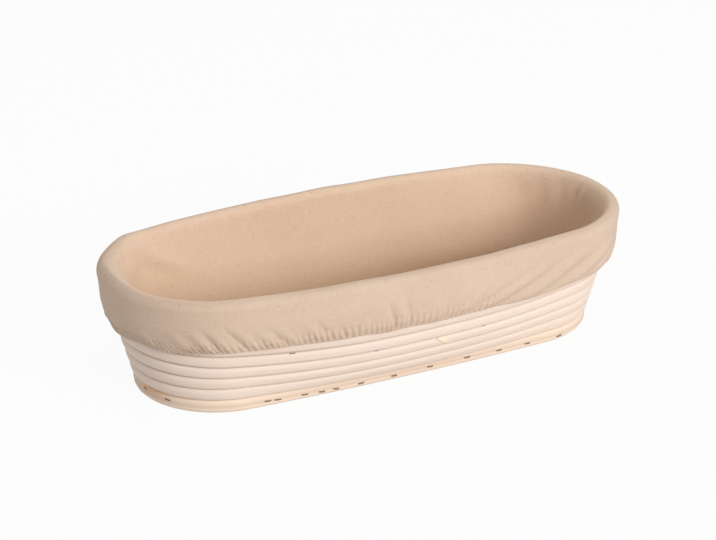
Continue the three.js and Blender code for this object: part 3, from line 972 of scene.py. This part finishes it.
@dataclass(frozen=True)
class StapleRow:
    """Wire staples of one kind: a bowed crown with rounded bends and two legs that go into the cane."""

    seed: int
    crown: float = 4.6 * MM
    leg: float = 5 * MM
    wire: float = 0.85 * MM
    bend: float = 0.9 * MM
    bow: float = 0.25 * MM
    tilt: float = 0.10
    sides: int = 8
    flatness: float = 0.7
    spread: float = 1.2
    map_step: float = 0.5 * MM

    def template(self) -> tuple[Array, Array, Array]:
        """One staple: a flattened round section carried down a leg, round a bend, over the crown and back.

        Returns:
            Points (crown along x, legs along y), faces and map.
        """
        half, size = self.crown / 2, self.wire / 2
        arc = np.linspace(0, math.pi / 2, 5)
        left = np.column_stack([-half + self.bend * (1 - np.cos(arc)), self.bend * (1 - np.sin(arc))])
        crown = np.linspace(-0.5, 0.5, 5) * (half - self.bend) * self.spread
        top = np.column_stack([crown, np.full(5, -self.bow)])
        path = np.concatenate([[[-half, self.leg]], left, top, left[::-1] * [-1, 1], [[half, self.leg]]])
        along = unit(np.gradient(path, axis=0))
        across = np.column_stack([-along[:, 1], along[:, 0]])
        angle = (TAU * (np.arange(self.sides) + 0.5) / self.sides)[:, None]
        flat = path[:, None] + self.flatness * size * np.sin(angle) * across[:, None]
        height = np.broadcast_to(size * np.cos(angle), (*flat.shape[:2], 1))
        lattice = Lattice(len(path), self.sides)
        rows, columns = lattice.corners()
        lay = np.stack([rows.ravel() * self.map_step, columns.ravel() * size], 1)
        return np.concatenate([flat, height], -1).reshape(-1, 3), lattice.faces(), lay

    def build(self, kind: str, frames: Frames, finishes: Finishes) -> None:
        """Sets a staple at each frame, crown along the cane and legs against its stack, each turned a little.

        Args:
            kind: what the names of the row and of its CAD nodes start with.
            frames: a place per staple, on the cane's surface.
            finishes: finishes of the basket.
        """
        points, faces, lay = self.template()
        count = len(frames.centre)
        turn = np.random.default_rng(self.seed).normal(0, self.tilt, count)[:, None]
        legs = -frames.stack
        crown = np.cos(turn) * frames.along + np.sin(turn) * np.cross(frames.along, legs)
        axes = np.stack([crown, legs, np.cross(crown, legs)], 1)
        placed = np.einsum("pk,nkx->npx", points, axes) + frames.centre[:, None]
        first = np.arange(count)[:, None] * len(points)
        quads = (faces.ravel() + first).reshape(-1, 4).tolist()
        ring = np.arange(self.sides)
        tips = np.concatenate([first + ring, first + len(points) - 1 - ring]).tolist()
        lay = np.concatenate([np.tile(lay, (count, 1)), np.zeros((2 * self.sides * count, 2))])
        piece = Piece(f"{kind}_row", placed.reshape(-1, 3), quads + tips, lay)
        piece.add(finishes.staple, Body.BASKET, [f"{kind}_{number + 1:02d}" for number in range(count)])


@dataclass
class Staples:
    """All staples: a row round the foot and single ones in the wall's grooves; the floor's keep their solids.

    A staple at the front of the foot has a share and a height; heights on the foot are in millimetres.
    """

    plan: BasketPlan
    foot_row: StapleRow = StapleRow(8056)
    wall_row: StapleRow = StapleRow(12, crown=3.8 * MM, wire=0.65 * MM, bend=0.5 * MM, bow=0.0, tilt=0.03)
    front: tuple[Pair, ...] = (
        (0.008, 6.6), (0.034, 5.8), (0.1174, 4.2), (0.1268, 3.8), (0.1519, 3.5), (0.168, 3.0),
        (0.1815, 3.0), (0.2057, 3.1), (0.2379, 3.3), (0.2737, 4.0), (0.3114, 4.4), (0.3445, 3.9),
        (0.3745, 3.7), (0.4088, 3.0))
    back_span: Pair = (0.487, 0.95)
    back_count: int = 14
    back_height: float = 3.0
    foot_proud: float = 0.1 * MM
    wall_turns: tuple[float, ...] = (
        1.58, 1.82, 2.56, 2.7, 2.86, 3.23, 3.284, 3.308, 3.8, 4.192, 4.7, 5.3, 5.9, 6.6, 7.3, 8.1)
    proud_turn: float = 4.192
    proud_seat: float = 2.7 * MM
    wall_seat: float = 2.0 * MM
    wall_drop: float = 0.5 * MM

    def build(self, wall: WoundWall, finishes: Finishes) -> None:
        """Seats the foot's crowns on the ring's outer face and the wall's crowns in the grooves.

        Args:
            wall: the winding, whose edges are the grooves.
            finishes: finishes of the basket.
        """
        plan = self.plan
        back = np.linspace(*self.back_span, self.back_count)
        places = np.concatenate([self.front, np.column_stack([back, np.full(len(back), self.back_height)])])
        turns = plan.even_turns(places[:, 0], plan.foot)
        heights = places[:, 1] * MM
        frames = plan.floor_frames(turns, np.zeros(len(turns)), heights)
        reach = np.sqrt((plan.foot_cane / 2) ** 2 - (heights - plan.foot_height) ** 2)
        frames.centre += frames.stack * (reach[:, None] + self.foot_proud)
        self.foot_row.build("foot_staple", frames, finishes)
        turns = np.array(self.wall_turns)
        frames = plan.wall_line(turns, wall.edge(turns))
        seat = np.where(turns == self.proud_turn, self.proud_seat, self.wall_seat)
        frames.centre += frames.side * seat[:, None] - frames.stack * self.wall_drop
        self.wall_row.build("wall_staple", frames, finishes)
        for name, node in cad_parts.items():
            if name.startswith("base_staple"):
                node.data.materials.clear()
                node.data.materials.append(finishes.staple.material())


@dataclass(frozen=True)
class Crease:
    """A long soft fold in the skirt: its place at the hem, lean, width, depth (+ is out) and length."""

    share: float
    lean: float
    width: float
    depth: float
    length: float

    def relief(self, place: Array, height: Array) -> Array:
        """How far the cloth stands out: a bell across the crease's line, which fades at both ends.

        Args:
            place: places round the hem, from 0 to 1.
            height: ways up from the hem.

        Returns:
            Ways out.
        """
        gap = wrapped(place - self.share - self.lean * height)
        fade = span(height, (-1 * MM, 5 * MM), (0.45 * self.length, self.length))
        return self.depth * bell(gap, self.width) * fade


FRONT_CREASES = tuple(Crease(*row[:3], row[3] * MM, row[4] * MM) for row in (
    (0.0480, -1.00, 0.0040, 0.5, 16), (0.0780, -1.00, 0.0045, 0.7, 19), (0.0935, -1.00, 0.0036, 0.9, 20),
    (0.1000, -0.96, 0.0024, -0.8, 20), (0.1085, -1.10, 0.0036, 0.9, 21), (0.1206, -1.17, 0.0024, -1.0, 24),
    (0.1275, -1.10, 0.0034, 0.9, 22), (0.1405, -1.10, 0.0034, 0.8, 17), (0.1487, -1.20, 0.0020, -0.9, 15),
    (0.1555, -1.10, 0.0034, 0.8, 18), (0.1735, -1.10, 0.0032, 0.7, 18), (0.1820, -1.17, 0.0020, -0.8, 17),
    (0.1906, -0.80, 0.0018, -0.7, 12), (0.2050, -0.30, 0.0030, 0.6, 14), (0.2275, -0.45, 0.0018, -0.9, 22),
    (0.2335, -0.40, 0.0030, 0.8, 25), (0.2390, -0.30, 0.0016, -0.7, 30), (0.2560, 0.60, 0.0030, 0.6, 15),
    (0.2620, 0.80, 0.0020, -0.7, 18), (0.2750, 1.50, 0.0040, 0.9, 24), (0.2840, 2.80, 0.0060, -0.9, 28),
    (0.2970, 2.60, 0.0085, 1.2, 28), (0.3110, 2.75, 0.0095, -1.1, 30), (0.3310, 2.55, 0.0110, 1.3, 30),
    (0.3540, 2.40, 0.0105, -1.1, 30), (0.3735, 2.30, 0.0100, 1.3, 28), (0.3920, 2.20, 0.0080, -0.8, 24),
    (0.4080, 1.70, 0.0090, 1.4, 26), (0.4240, 1.20, 0.0070, -0.7, 22), (0.4390, 0.90, 0.0060, 1.5, 24),
    (0.4580, 0.60, 0.0036, 1.0, 18),
))


@dataclass
class LinerPart:
    """A part of the cloth liner: how far it lies off the cane, and how thick it is."""

    plan: BasketPlan
    away: float = 0.75 * MM
    thickness: float = 0.6 * MM
    left_share: float = 0.002
    left_reach: float = 0.03

    def left(self, share: Array) -> Array:
        """1 at the left end, fading to 0 round its corners."""
        return bell(wrapped(share) - self.left_share, self.left_reach, 4)


@dataclass
class LinerCup(LinerPart):
    """The liner's floor, its wall and its fold over the rim.

    The corner is a slack crease that leans down the wall beside the left end. The cloth spans that end and
    hangs in there. A streak is a small fold inside the right end: its share, width and depth in millimetres.
    """

    floor_core: float = 7 * MM
    floor_inset: float = 5 * MM
    floor_count: int = 8
    knee: float = 0.55
    turn_up_count: int = 8
    wall_start: float = 1.7
    wall_count: int = 18
    wall_wander: float = 0.35 * MM
    corner_share: float = 0.917
    corner_lean: float = 2.05
    corner_widths: Pair = (0.006, 0.014)
    corner_depth: float = 3.0 * MM
    corner_span: Span = ((-6 * MM, 4 * MM), (14 * MM, 34 * MM))
    hang_depth: float = 6.5 * MM
    hang_share: float = -0.03
    hang_reach: float = 0.05
    hang_fade: Pair = (10 * MM, 46 * MM)
    streak_span: Span = ((0, 4 * MM), (9 * MM, 26 * MM))
    streaks: tuple[Triple, ...] = (
        (0.4667, 0.0032, 1.8), (0.4767, 0.0032, 2.0), (0.4867, 0.0032, 2.2), (0.4967, 0.0032, 2.2),
        (0.508, 0.0036, 1.8), (0.523, 0.005, 1.0), (0.543, 0.007, 0.8), (0.5633, 0.006, 0.4))
    rim_count: int = 13
    rim_wander: float = 0.18 * MM
    rim_hang: float = 0.55
    rim_corner: float = 1.3 * MM
    rim_corner_reach: float = 0.013
    ridge: float = 1.0 * MM
    ridge_angle: float = 1.9
    ridge_reach: float = 0.4

    def floor_rows(self, turns: Array) -> Array:
        """Rows of the floor, from a narrow oval in the middle out to where it turns up.

        Args:
            turns: places round the floor.

        Returns:
            The rows.
        """
        plan = self.plan
        top = plan.base_height + plan.radius + self.away
        first, last = self.floor_core - plan.foot.end_radius, -plan.first_step - self.floor_inset
        offsets = np.linspace(first, last, self.floor_count)
        return np.stack([plan.floor_frames(turns, np.full(len(turns), by), top).centre for by in offsets])

    def overhang(self, share: Array) -> Array:
        """How far the cloth hangs in from the rim at the left end: a bell round the rim."""
        return self.hang_depth * bell(wrapped(share) - self.hang_share, self.hang_reach, 4)

    def wall_rows(self, turns: Array, share: Array) -> Array:
        """Rows up the inside of the wall, a little away from the cane, with its slack and its folds.

        Args:
            turns: places round the wall.
            share: the same places as shares of the rim.

        Returns:
            Rows from low on the wall to the rim.
        """
        plan = self.plan
        levels = np.linspace(self.wall_start, plan.wall_turns, self.wall_count)
        frames = plan.wall_frames(turns, np.broadcast_to(levels, (len(turns), len(levels))))
        depth = (plan.wall_turns - levels)[:, None] * plan.pitch
        slack = self.wall_wander * ripple(share, (4, 18), 9, 41) * smooth(depth, 0, 15 * MM)
        gap = share - self.corner_share + self.corner_lean * depth
        corner = bell(gap, np.where(gap < 0, *self.corner_widths))
        slack += self.corner_depth * corner * span(depth, *self.corner_span)
        hang = self.rim_hang + (1 - self.rim_hang) * smooth(depth, 0, 12 * MM)
        slack += self.overhang(share) * hang * (1 - smooth(depth, *self.hang_fade))
        streaks = sum(out * MM * bell(share - place, width) for place, width, out in self.streaks)
        slack += streaks * span(depth, *self.streak_span)
        inward = plan.radius + self.away + slack
        return np.swapaxes(frames.centre, 0, 1) - inward[..., None] * np.swapaxes(frames.side, 0, 1)

    def turn_up_rows(self, edge: Array, wall: Array) -> Array:
        """Rows round the turn from floor to wall: a parabola that leaves both straight on.

        Args:
            edge: last row of the floor.
            wall: first row of the wall.

        Returns:
            Rows between them.
        """
        share = np.linspace(0, 1, self.turn_up_count)[1:-1, None, None]
        plan = edge[..., :2] * (1 - self.knee) + wall[..., :2] * self.knee
        knee = np.concatenate([plan, edge[..., 2:]], -1)
        return (1 - share) ** 2 * edge + 2 * share * (1 - share) * knee + share ** 2 * wall

    def rim_rows(self, turns: Array, share: Array) -> Array:
        """Rows over the rim: part of a circle round the topmost cane, uneven, with a ridge at the left end.

        Args:
            turns: places round the rim.
            share: the same places as shares of the rim.

        Returns:
            Rows from the inside to the outside.
        """
        plan = self.plan
        line = plan.wall_line(turns, np.full(len(turns), float(plan.wall_turns)))
        angle = np.linspace(math.pi, 0, self.rim_count)[1:-1, None, None]
        corner = self.rim_corner * bell(share - self.corner_share, self.rim_corner_reach)
        uneven = (self.rim_wander * ripple(share, (3, 22), 9, 5) + corner)[:, None]
        reach = plan.radius + self.away + uneven * np.sin(angle)
        broad = reach + self.rim_hang * self.overhang(share)[:, None] * (np.cos(angle) < 0)
        ridge = self.ridge * self.left(share)[:, None] * bell(angle - self.ridge_angle, self.ridge_reach)
        return line.centre + broad * np.cos(angle) * line.side + (reach * np.sin(angle) + ridge) * line.stack


@dataclass
class LinerSkirt(LinerPart):
    """The liner outside the rim: a skirt with folds, drawn in by an elastic in its hem.

    The hem's height is in levels. A droop of the hem has a side (-1 is left) and a depth, and its start and
    end are parts of the way from the middle to that end. Back creases have depths and lengths in millimetres.
    """

    belly: float = 2.3 * MM
    fuller: float = 0.25
    fuller_share: float = 0.44
    fuller_reach: float = 0.05
    hem_level: float = 5.65
    hem_wander: float = 0.03
    droops: tuple[tuple[float, float, float, float], ...] = (
        (-1, 0.28, 0.3, 0.95), (-1, 0.2, 0.86, 1), (1, 0.12, 0.5, 1), (1, 1.0, 0.7, 1))
    rise: float = 0.4
    rise_share: float = 0.028
    rise_reach: float = 0.014
    sag: float = 0.42
    sag_span: Span = ((0.303, 0.343), (0.395, 0.435))
    casing: float = 6.4 * MM
    casing_out: float = 0.7 * MM
    gathers: int = 240
    gather_depth: float = 1.2 * MM
    gather_lean: float = 1.1
    gather_wander: float = 2.0
    front_middle: float = 0.24
    right_ease: float = 0.75
    right_span: Span = ((0.31, 0.345), (0.46, 0.52))
    stitch_depth: float = 0.55 * MM
    stitch_width: float = 1.3 * MM
    back_creases: int = 24
    back_seed: int = 21
    back_start: float = 0.47
    back_reach: float = 0.56
    back_lean: float = 1.4
    back_width: float = 0.0036
    back_depths: Pair = (0.5, 1.1)
    back_lengths: Pair = (13, 24)
    hem_drop: float = 0.7 * MM
    tuck_away: float = 0.36 * MM
    tuck_up: float = 2.5 * MM

    def hem(self, turns: Array, share: Array) -> Array:
        """Level of the hem: lower at both ends, most at the right, with a rise, a sag and a slight wander.

        Args:
            turns: places round the basket.
            share: the same places as shares of the rim.

        Returns:
            Levels.
        """
        points, _ = self.plan.outline(turns, self.plan.rim)
        lean = points[:, 0] / self.plan.rim.half_length
        droop = sum(depth * smooth(side * lean, start, end) for side, depth, start, end in self.droops)
        rise = self.rise * bell(share - self.rise_share, self.rise_reach)
        sag = self.sag * span(share, *self.sag_span)
        return self.hem_level - droop + rise - sag + self.hem_wander * ripple(share, (4, 30), 10, 8)

    def creases(self) -> list[Crease]:
        """The front's creases, and others behind at random.

        Returns:
            All creases.
        """
        count = self.back_creases
        rng = np.random.default_rng(self.back_seed)
        steps = np.arange(count) + rng.uniform(0.2, 0.8, count)
        places = self.back_start + self.back_reach * steps / count
        leans = rng.uniform(-self.back_lean, self.back_lean, count)
        depths, lengths = (rng.uniform(*ends, count) * MM for ends in (self.back_depths, self.back_lengths))
        behind = zip(places, leans, np.full(count, self.back_width), depths, lengths)
        return [*FRONT_CREASES, *(Crease(*values) for values in behind)]

    def relief(self, share: Array, height: Array) -> Array:
        """How far the skirt stands out: gathers that lean away from the front's middle, and folds.

        A gather is half a wave of a cosine of the place round the hem, up to the seam that draws it in.

        Args:
            share: places round the hem, from 0 to 1.
            height: ways up from the hem, one row per row of the skirt.

        Returns:
            Ways out, with a row per height and a column per place.
        """
        place = share - self.gather_lean * np.sin(TAU * (share - self.front_middle)) * height
        phase = TAU * self.gathers * place + self.gather_wander * ripple(place, (3, 24), 8, 31)
        ridge = np.abs(np.cos(phase / 2)) ** 1.2
        eased = self.right_ease * span(share, *self.right_span)
        fullness = np.clip(1.0 + 0.2 * ripple(share, (2, 40), 10, 33), 0.65, 1.3) * (1 - eased)
        seam = self.casing * np.clip(1 + 0.12 * ripple(share, (20, 90), 12, 34), 0.8, 1.25)
        out = self.gather_depth * fullness * ridge * (1 - smooth(height / seam, 0.7, 1.5))
        out = out - self.stitch_depth * fullness * bell(height - seam, self.stitch_width)
        return out + sum(crease.relief(share, height) for crease in self.creases())

    def rows(self, turns: Array, share: Array, drops: Array) -> tuple[Array, Array]:
        """Rows down the outside: the cloth bellies out below the rim and comes in over the elastic.

        Args:
            turns: places round the basket.
            share: the same places as shares of the rim.
            drops: shares of the way down from rim to hem.

        Returns:
            Rows, and the way out from the cane's middle in the last of them.
        """
        plan = self.plan
        hem = self.hem(turns, share)
        levels = plan.wall_turns + (hem - plan.wall_turns) * drops[:, None]
        frames = plan.wall_frames(turns, levels.T)
        height = (levels - hem) * plan.pitch
        fuller = 1 + self.fuller * bell(share - self.fuller_share, self.fuller_reach)
        belly = self.belly * fuller * np.sin(math.pi * drops[:, None] ** 1.15) ** 1.2
        over = smooth(height, self.casing + 6 * MM, self.casing - 2 * MM) * self.casing_out
        out = np.maximum(self.away + belly + over + self.relief(share, height), self.thickness) + plan.radius
        rows = np.swapaxes(frames.centre, 0, 1) + out[..., None] * np.swapaxes(frames.side, 0, 1)
        return rows, out[-1]

    def hem_rows(self, turns: Array, share: Array, out: Array) -> Array:
        """Rows under the hem, round half an ellipse, and up behind the elastic.

        Args:
            turns: places round the basket.
            share: the same places as shares of the rim.
            out: way out from the cane's middle where the skirt ends.

        Returns:
            The rows.
        """
        line = self.plan.wall_line(turns, self.hem(turns, share))
        inner = self.plan.radius + self.tuck_away
        angle = np.linspace(0, math.pi, 7)[1:, None, None]
        middle, reach = ((out + inner) / 2)[:, None], ((out - inner) / 2)[:, None]
        under = line.centre + (middle + reach * np.cos(angle)) * line.side
        under = under - self.hem_drop * np.sin(angle) * line.stack
        behind = [line.centre + inner * line.side + up * line.stack for up in (self.tuck_up, self.casing)]
        return np.concatenate([under, behind])


@dataclass
class Liner(LinerPart):
    """The whole liner: one sheet of cloth from cup and skirt, and the elastic in its hem."""

    columns: int = 300
    fineness: int = 4
    split: float = 0.3
    upper_count: int = 5
    lower_count: int = 19
    flat_cut: Pair = (0.36, 0.56)
    flat_area: float = 0.165
    # Strength of the painted shade on the wall inside the right end
    end_shade: float = 0.32
    elastic_steps: int = 260
    elastic_up: float = 3.1 * MM
    elastic_out: float = 0.9 * MM
    elastic_half: Pair = (0.2 * MM, 1.7 * MM)

    def build(self, finishes: Finishes) -> None:
        """Joins all rows into one sheet, closer woven towards the hem, and gives it its thickness.

        Args:
            finishes: finishes of the basket.
        """
        plan = self.plan
        cup, skirt = (part(plan, self.away, self.thickness) for part in (LinerCup, LinerSkirt))
        share, fine_share = (np.arange(n) / n for n in (self.columns, self.columns * self.fineness))
        turns, fine_turns = (plan.even_turns(places, plan.rim) for places in (share, fine_share))
        floor = cup.floor_rows(turns)
        wall = cup.wall_rows(turns, share)
        inner = np.concatenate([floor, cup.turn_up_rows(floor[-1], wall[0]), wall])
        upper, _ = skirt.rows(turns, share, np.linspace(0, self.split, self.upper_count + 1)[:-1])
        lower, out = skirt.rows(fine_turns, fine_share, np.linspace(self.split, 1, self.lower_count))
        coarse = np.concatenate([inner, cup.rim_rows(turns, share), upper])
        fine = np.concatenate([lower, skirt.hem_rows(fine_turns, fine_share, out)])
        piece = self.sheet(coarse, fine, len(floor))
        for name, values in self.tints(coarse, share, len(floor), len(inner)).items():
            spread = np.broadcast_to(values, coarse.shape[:2]).ravel()
            # The fine rows are outside: full outside painted shade, no low or deep painted shade
            piece.values[name] = np.append(spread, np.full(fine[..., 0].size, float(name == "outer")))
        cloth = piece.add(finishes.cloth, Body.LINER, ["liner_cup", "liner_skirt"])
        thick = cloth.modifiers.new("thickness", "SOLIDIFY")
        thick.thickness = self.thickness
        thick.offset = 0
        self.elastic(skirt, finishes)

    def tints(self, coarse: Array, share: Array, floor: int, inner: int) -> dict[str, Array]:
        """How much painted shade the coarse rows get outside, low inside and deep inside, by row and by place
        along the basket.

        Deep painted shade lies on the turn from floor to wall, more towards the right, and on the wall inside
        the right end.

        Args:
            coarse: rows of the floor, the wall, the rim and the upper skirt.
            share: places in a row as shares of the rim.
            floor: how many rows are floor.
            inner: how many rows are inside the basket.

        Returns:
            Values from 0 to 1 by name of the tint.
        """
        row = np.arange(len(coarse))[:, None]
        x = coarse[..., 0]
        left = self.left(share)
        # Painted shade on the outside, which starts further in at the left end, as a painted crest line
        outer = smooth(row, inner + 3.5 - 0.8 * left, inner + 6.5 - 2.3 * left)
        turn_up = span(row, (2, floor - 1), (floor + 4, floor + 11))
        wall = span(row, (floor, floor + 8), (inner - 3, inner))
        deep = np.maximum(turn_up * (0.35 + 0.65 * smooth(x, -80 * MM, 110 * MM)),
                          self.end_shade * wall * smooth(x, 125 * MM, 160 * MM))
        # low: painted shade from the floor, fading up the inside wall to none at its top
        return {"outer": outer, "low": 1 - smooth(row, floor, inner), "deep": deep}

    def sheet(self, coarse: Array, fine: Array, floor_rows: int) -> Piece:
        """One sheet from coarse rows and fine rows, joined by faces with several fine corners each.

        Args:
            coarse: rows of the floor, the wall, the rim and the upper skirt.
            fine: rows of the lower skirt and the hem.
            floor_rows: how many of the first rows are floor.

        Returns:
            The piece; its map runs round and down the cloth, and is the plan on the floor.
        """
        girth = float(run_of(coarse[-1])[-1])
        middle = np.concatenate([coarse, fine[:, ::self.fineness]])
        run = np.concatenate([[0.0], np.cumsum(np.linalg.norm(np.diff(middle, axis=0), axis=2).mean(1))])
        faces, lays = [], []
        start = 0
        for rows, first in ((coarse, 0), (fine, len(coarse))):
            count = rows.shape[1]
            lattice = Lattice(len(rows), count)
            row, column = lattice.corners()
            lay = np.stack([column * girth / count, run[row + first]], -1)
            on_floor = (row + first < floor_rows).all(1)
            lay[on_floor] = rows[row[on_floor], column[on_floor] % count, :2]
            faces += (lattice.faces() + start).tolist()
            lays.append(lay.reshape(-1, 2))
            start += len(rows) * count
        place = np.arange(self.columns)
        steps = place[:, None] * self.fineness + np.arange(self.fineness + 1)
        ends = np.stack([place + 1, place], 1)
        fine_start = len(coarse) * self.columns
        join = np.concatenate([fine_start + steps % fine.shape[1],
                               fine_start - self.columns + ends % self.columns], 1)
        along = np.concatenate([steps / self.fineness, ends], 1) * girth / self.columns
        down = np.where(np.arange(self.fineness + 3) <= self.fineness, run[len(coarse)], run[len(coarse) - 1])
        faces += join.tolist() + [place.tolist()]
        lays += [np.stack([along, np.broadcast_to(down, along.shape)], -1).reshape(-1, 2), coarse[0, :, :2]]
        points = np.concatenate([coarse.reshape(-1, 3), fine.reshape(-1, 3)])
        return Piece("liner_cloth", points, faces, np.concatenate(lays))

    def elastic(self, skirt: LinerSkirt, finishes: Finishes) -> None:
        """The flat band in the hem: a rounded section carried once round, inside the turned-up cloth.

        Args:
            skirt: the skirt, whose hem the band follows.
            finishes: finishes of the basket.
        """
        plan = self.plan
        share = np.linspace(0, 1, self.elastic_steps)
        turns = plan.even_turns(share, plan.rim)
        line = plan.wall_line(turns, skirt.hem(turns, share) + self.elastic_up / plan.pitch)
        line.centre += (plan.radius + self.elastic_out) * line.side
        width, height = (np.full(self.elastic_steps, half) for half in self.elastic_half)
        band = tube("hem_elastic", line, width, height, squareness=3.0, sides=12)
        band.add(finishes.elastic, Body.LINER, ["liner_elastic"])


@dataclass
class Studio:
    """Floor, light and camera: a white floor under soft light, seen as the photograph sees it."""

    azimuth: float = -27.95
    elevation: float = 22.86
    distance: float = 1.700
    shift_right: float = -4.2441 * MM
    shift_up: float = 10.7571 * MM
    aim: Triple = (0.0, 0.0, 40 * MM)
    focal_pixels: float = 2714.4
    width_pixels: int = 716
    sensor: float = 36.0
    far: float = 50.0
    world_light: float = 0.83
    key_place: Triple = (0.45, -1.95, 0.95)
    key_size: float = 0.8
    key_power: float = 30.5
    floor_reach: float = 8.0
    floor_colour: Triple = (0.82, 0.81, 0.80)
    floor_glow: float = 0.93

    def stand(self, name: str, data: Any, place: Array, right: Array, back: Array) -> bpy.types.Object:
        """Puts a camera or a lamp in the scene.

        Args:
            name: name of the object.
            data: the camera or the lamp.
            place: where it stands.
            right: the way to its right.
            back: the way that it faces away from.

        Returns:
            The object.
        """
        matrix = np.eye(4)
        matrix[:3] = np.column_stack([right, np.cross(back, right), back, place])
        thing = bpy.data.objects.new(name, data)
        thing.matrix_world = Matrix(matrix.tolist())
        bpy.context.scene.collection.objects.link(thing)
        return thing

    def camera(self) -> None:
        """Stands the camera; its lens is the focal length over the picture's width, both in pixels."""
        az, el = math.radians(self.azimuth), math.radians(self.elevation)
        back = np.array([math.sin(az) * math.cos(el), -math.cos(az) * math.cos(el), math.sin(el)])
        right = np.array([math.cos(az), math.sin(az), 0.0])
        shift = right * self.shift_right + np.cross(back, right) * self.shift_up
        data = bpy.data.cameras.new("camera")
        data.sensor_fit = "HORIZONTAL"
        data.sensor_width = self.sensor
        data.lens = self.focal_pixels * self.sensor / self.width_pixels
        data.clip_end = self.far
        place = np.array(self.aim) + back * self.distance + shift
        bpy.context.scene.camera = self.stand("camera", data, place, right, back)

    def seen_directly(self, nodes: Nodes) -> Socket:
        """1 on rays from the camera, and on mirror and glass rays.

        Args:
            nodes: the tree that asks.

        Returns:
            The number.
        """
        path = nodes.add("LightPath").outputs
        seen = nodes.math("MAXIMUM", path["Is Camera Ray"], path["Is Glossy Ray"])
        return nodes.math("MAXIMUM", seen, path["Is Transmission Ray"])

    def floor(self) -> None:
        """A wide pale floor that stays near white to the eye and keeps the basket's shadow."""
        reach = self.floor_reach
        corners = [(-reach, -reach, 0), (reach, -reach, 0), (reach, reach, 0), (-reach, reach, 0)]
        mesh = bpy.data.meshes.new("floor")
        mesh.from_pydata(corners, [], [(0, 1, 2, 3)])
        nodes = Nodes(bpy.data.materials.new("pale_floor"))
        matt = nodes.add("BsdfDiffuse", None, Color=(*self.floor_colour, 1))
        glow = nodes.add("Emission", None, Color=(1, 1, 1, 1), Strength=1.0)
        share = nodes.scaled(self.seen_directly(nodes), self.floor_glow)
        both = nodes.add("MixShader", None, i0=share, i1=matt.outputs[0], i2=glow.outputs[0])
        nodes.add("OutputMaterial", None, Surface=both.outputs[0])
        mesh.materials.append(nodes.owner)
        floor = bpy.data.objects.new("floor", mesh)
        bpy.context.scene.collection.objects.link(floor)

    def lamp(self) -> None:
        """A square soft lamp that faces the basket."""
        data = bpy.data.lights.new("key", "AREA")
        data.size = self.key_size
        data.energy = self.key_power
        back = unit(np.array(self.key_place) - np.array(self.aim))
        self.stand("key", data, np.array(self.key_place), unit(np.cross(UP, back)), back)

    def world(self) -> None:
        """Even light all round, white where it is seen directly."""
        world = bpy.data.worlds.new("surround")
        bpy.context.scene.world = world
        nodes = Nodes(world)
        seen = self.seen_directly(nodes)
        light = nodes.add("MapRange", None, Value=seen, To_Min=self.world_light, To_Max=1.0)
        back = nodes.add("Background", None, Strength=light.outputs[0])
        nodes.add("OutputWorld", None, Surface=back.outputs[0])

    def build(self) -> None:
        """Sets up everything round the basket."""
        bpy.context.scene.view_settings.view_transform = "Standard"
        self.camera()
        self.floor()
        self.world()
        self.lamp()


def main() -> None:
    """Builds the basket and its surroundings, piece by piece."""
    logging.basicConfig(level=logging.INFO, format="%(name)s: %(message)s")
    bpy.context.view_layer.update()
    plan = BasketPlan()
    finishes = Finishes()
    wall = WoundWall(plan)
    wall.build(finishes)
    FootRing(plan).build(wall, finishes)
    WovenFloor(plan).build(finishes)
    Staples(plan).build(wall, finishes)
    Liner(plan).build(finishes)
    Studio().build()


if __name__ == "__main__":
    main()
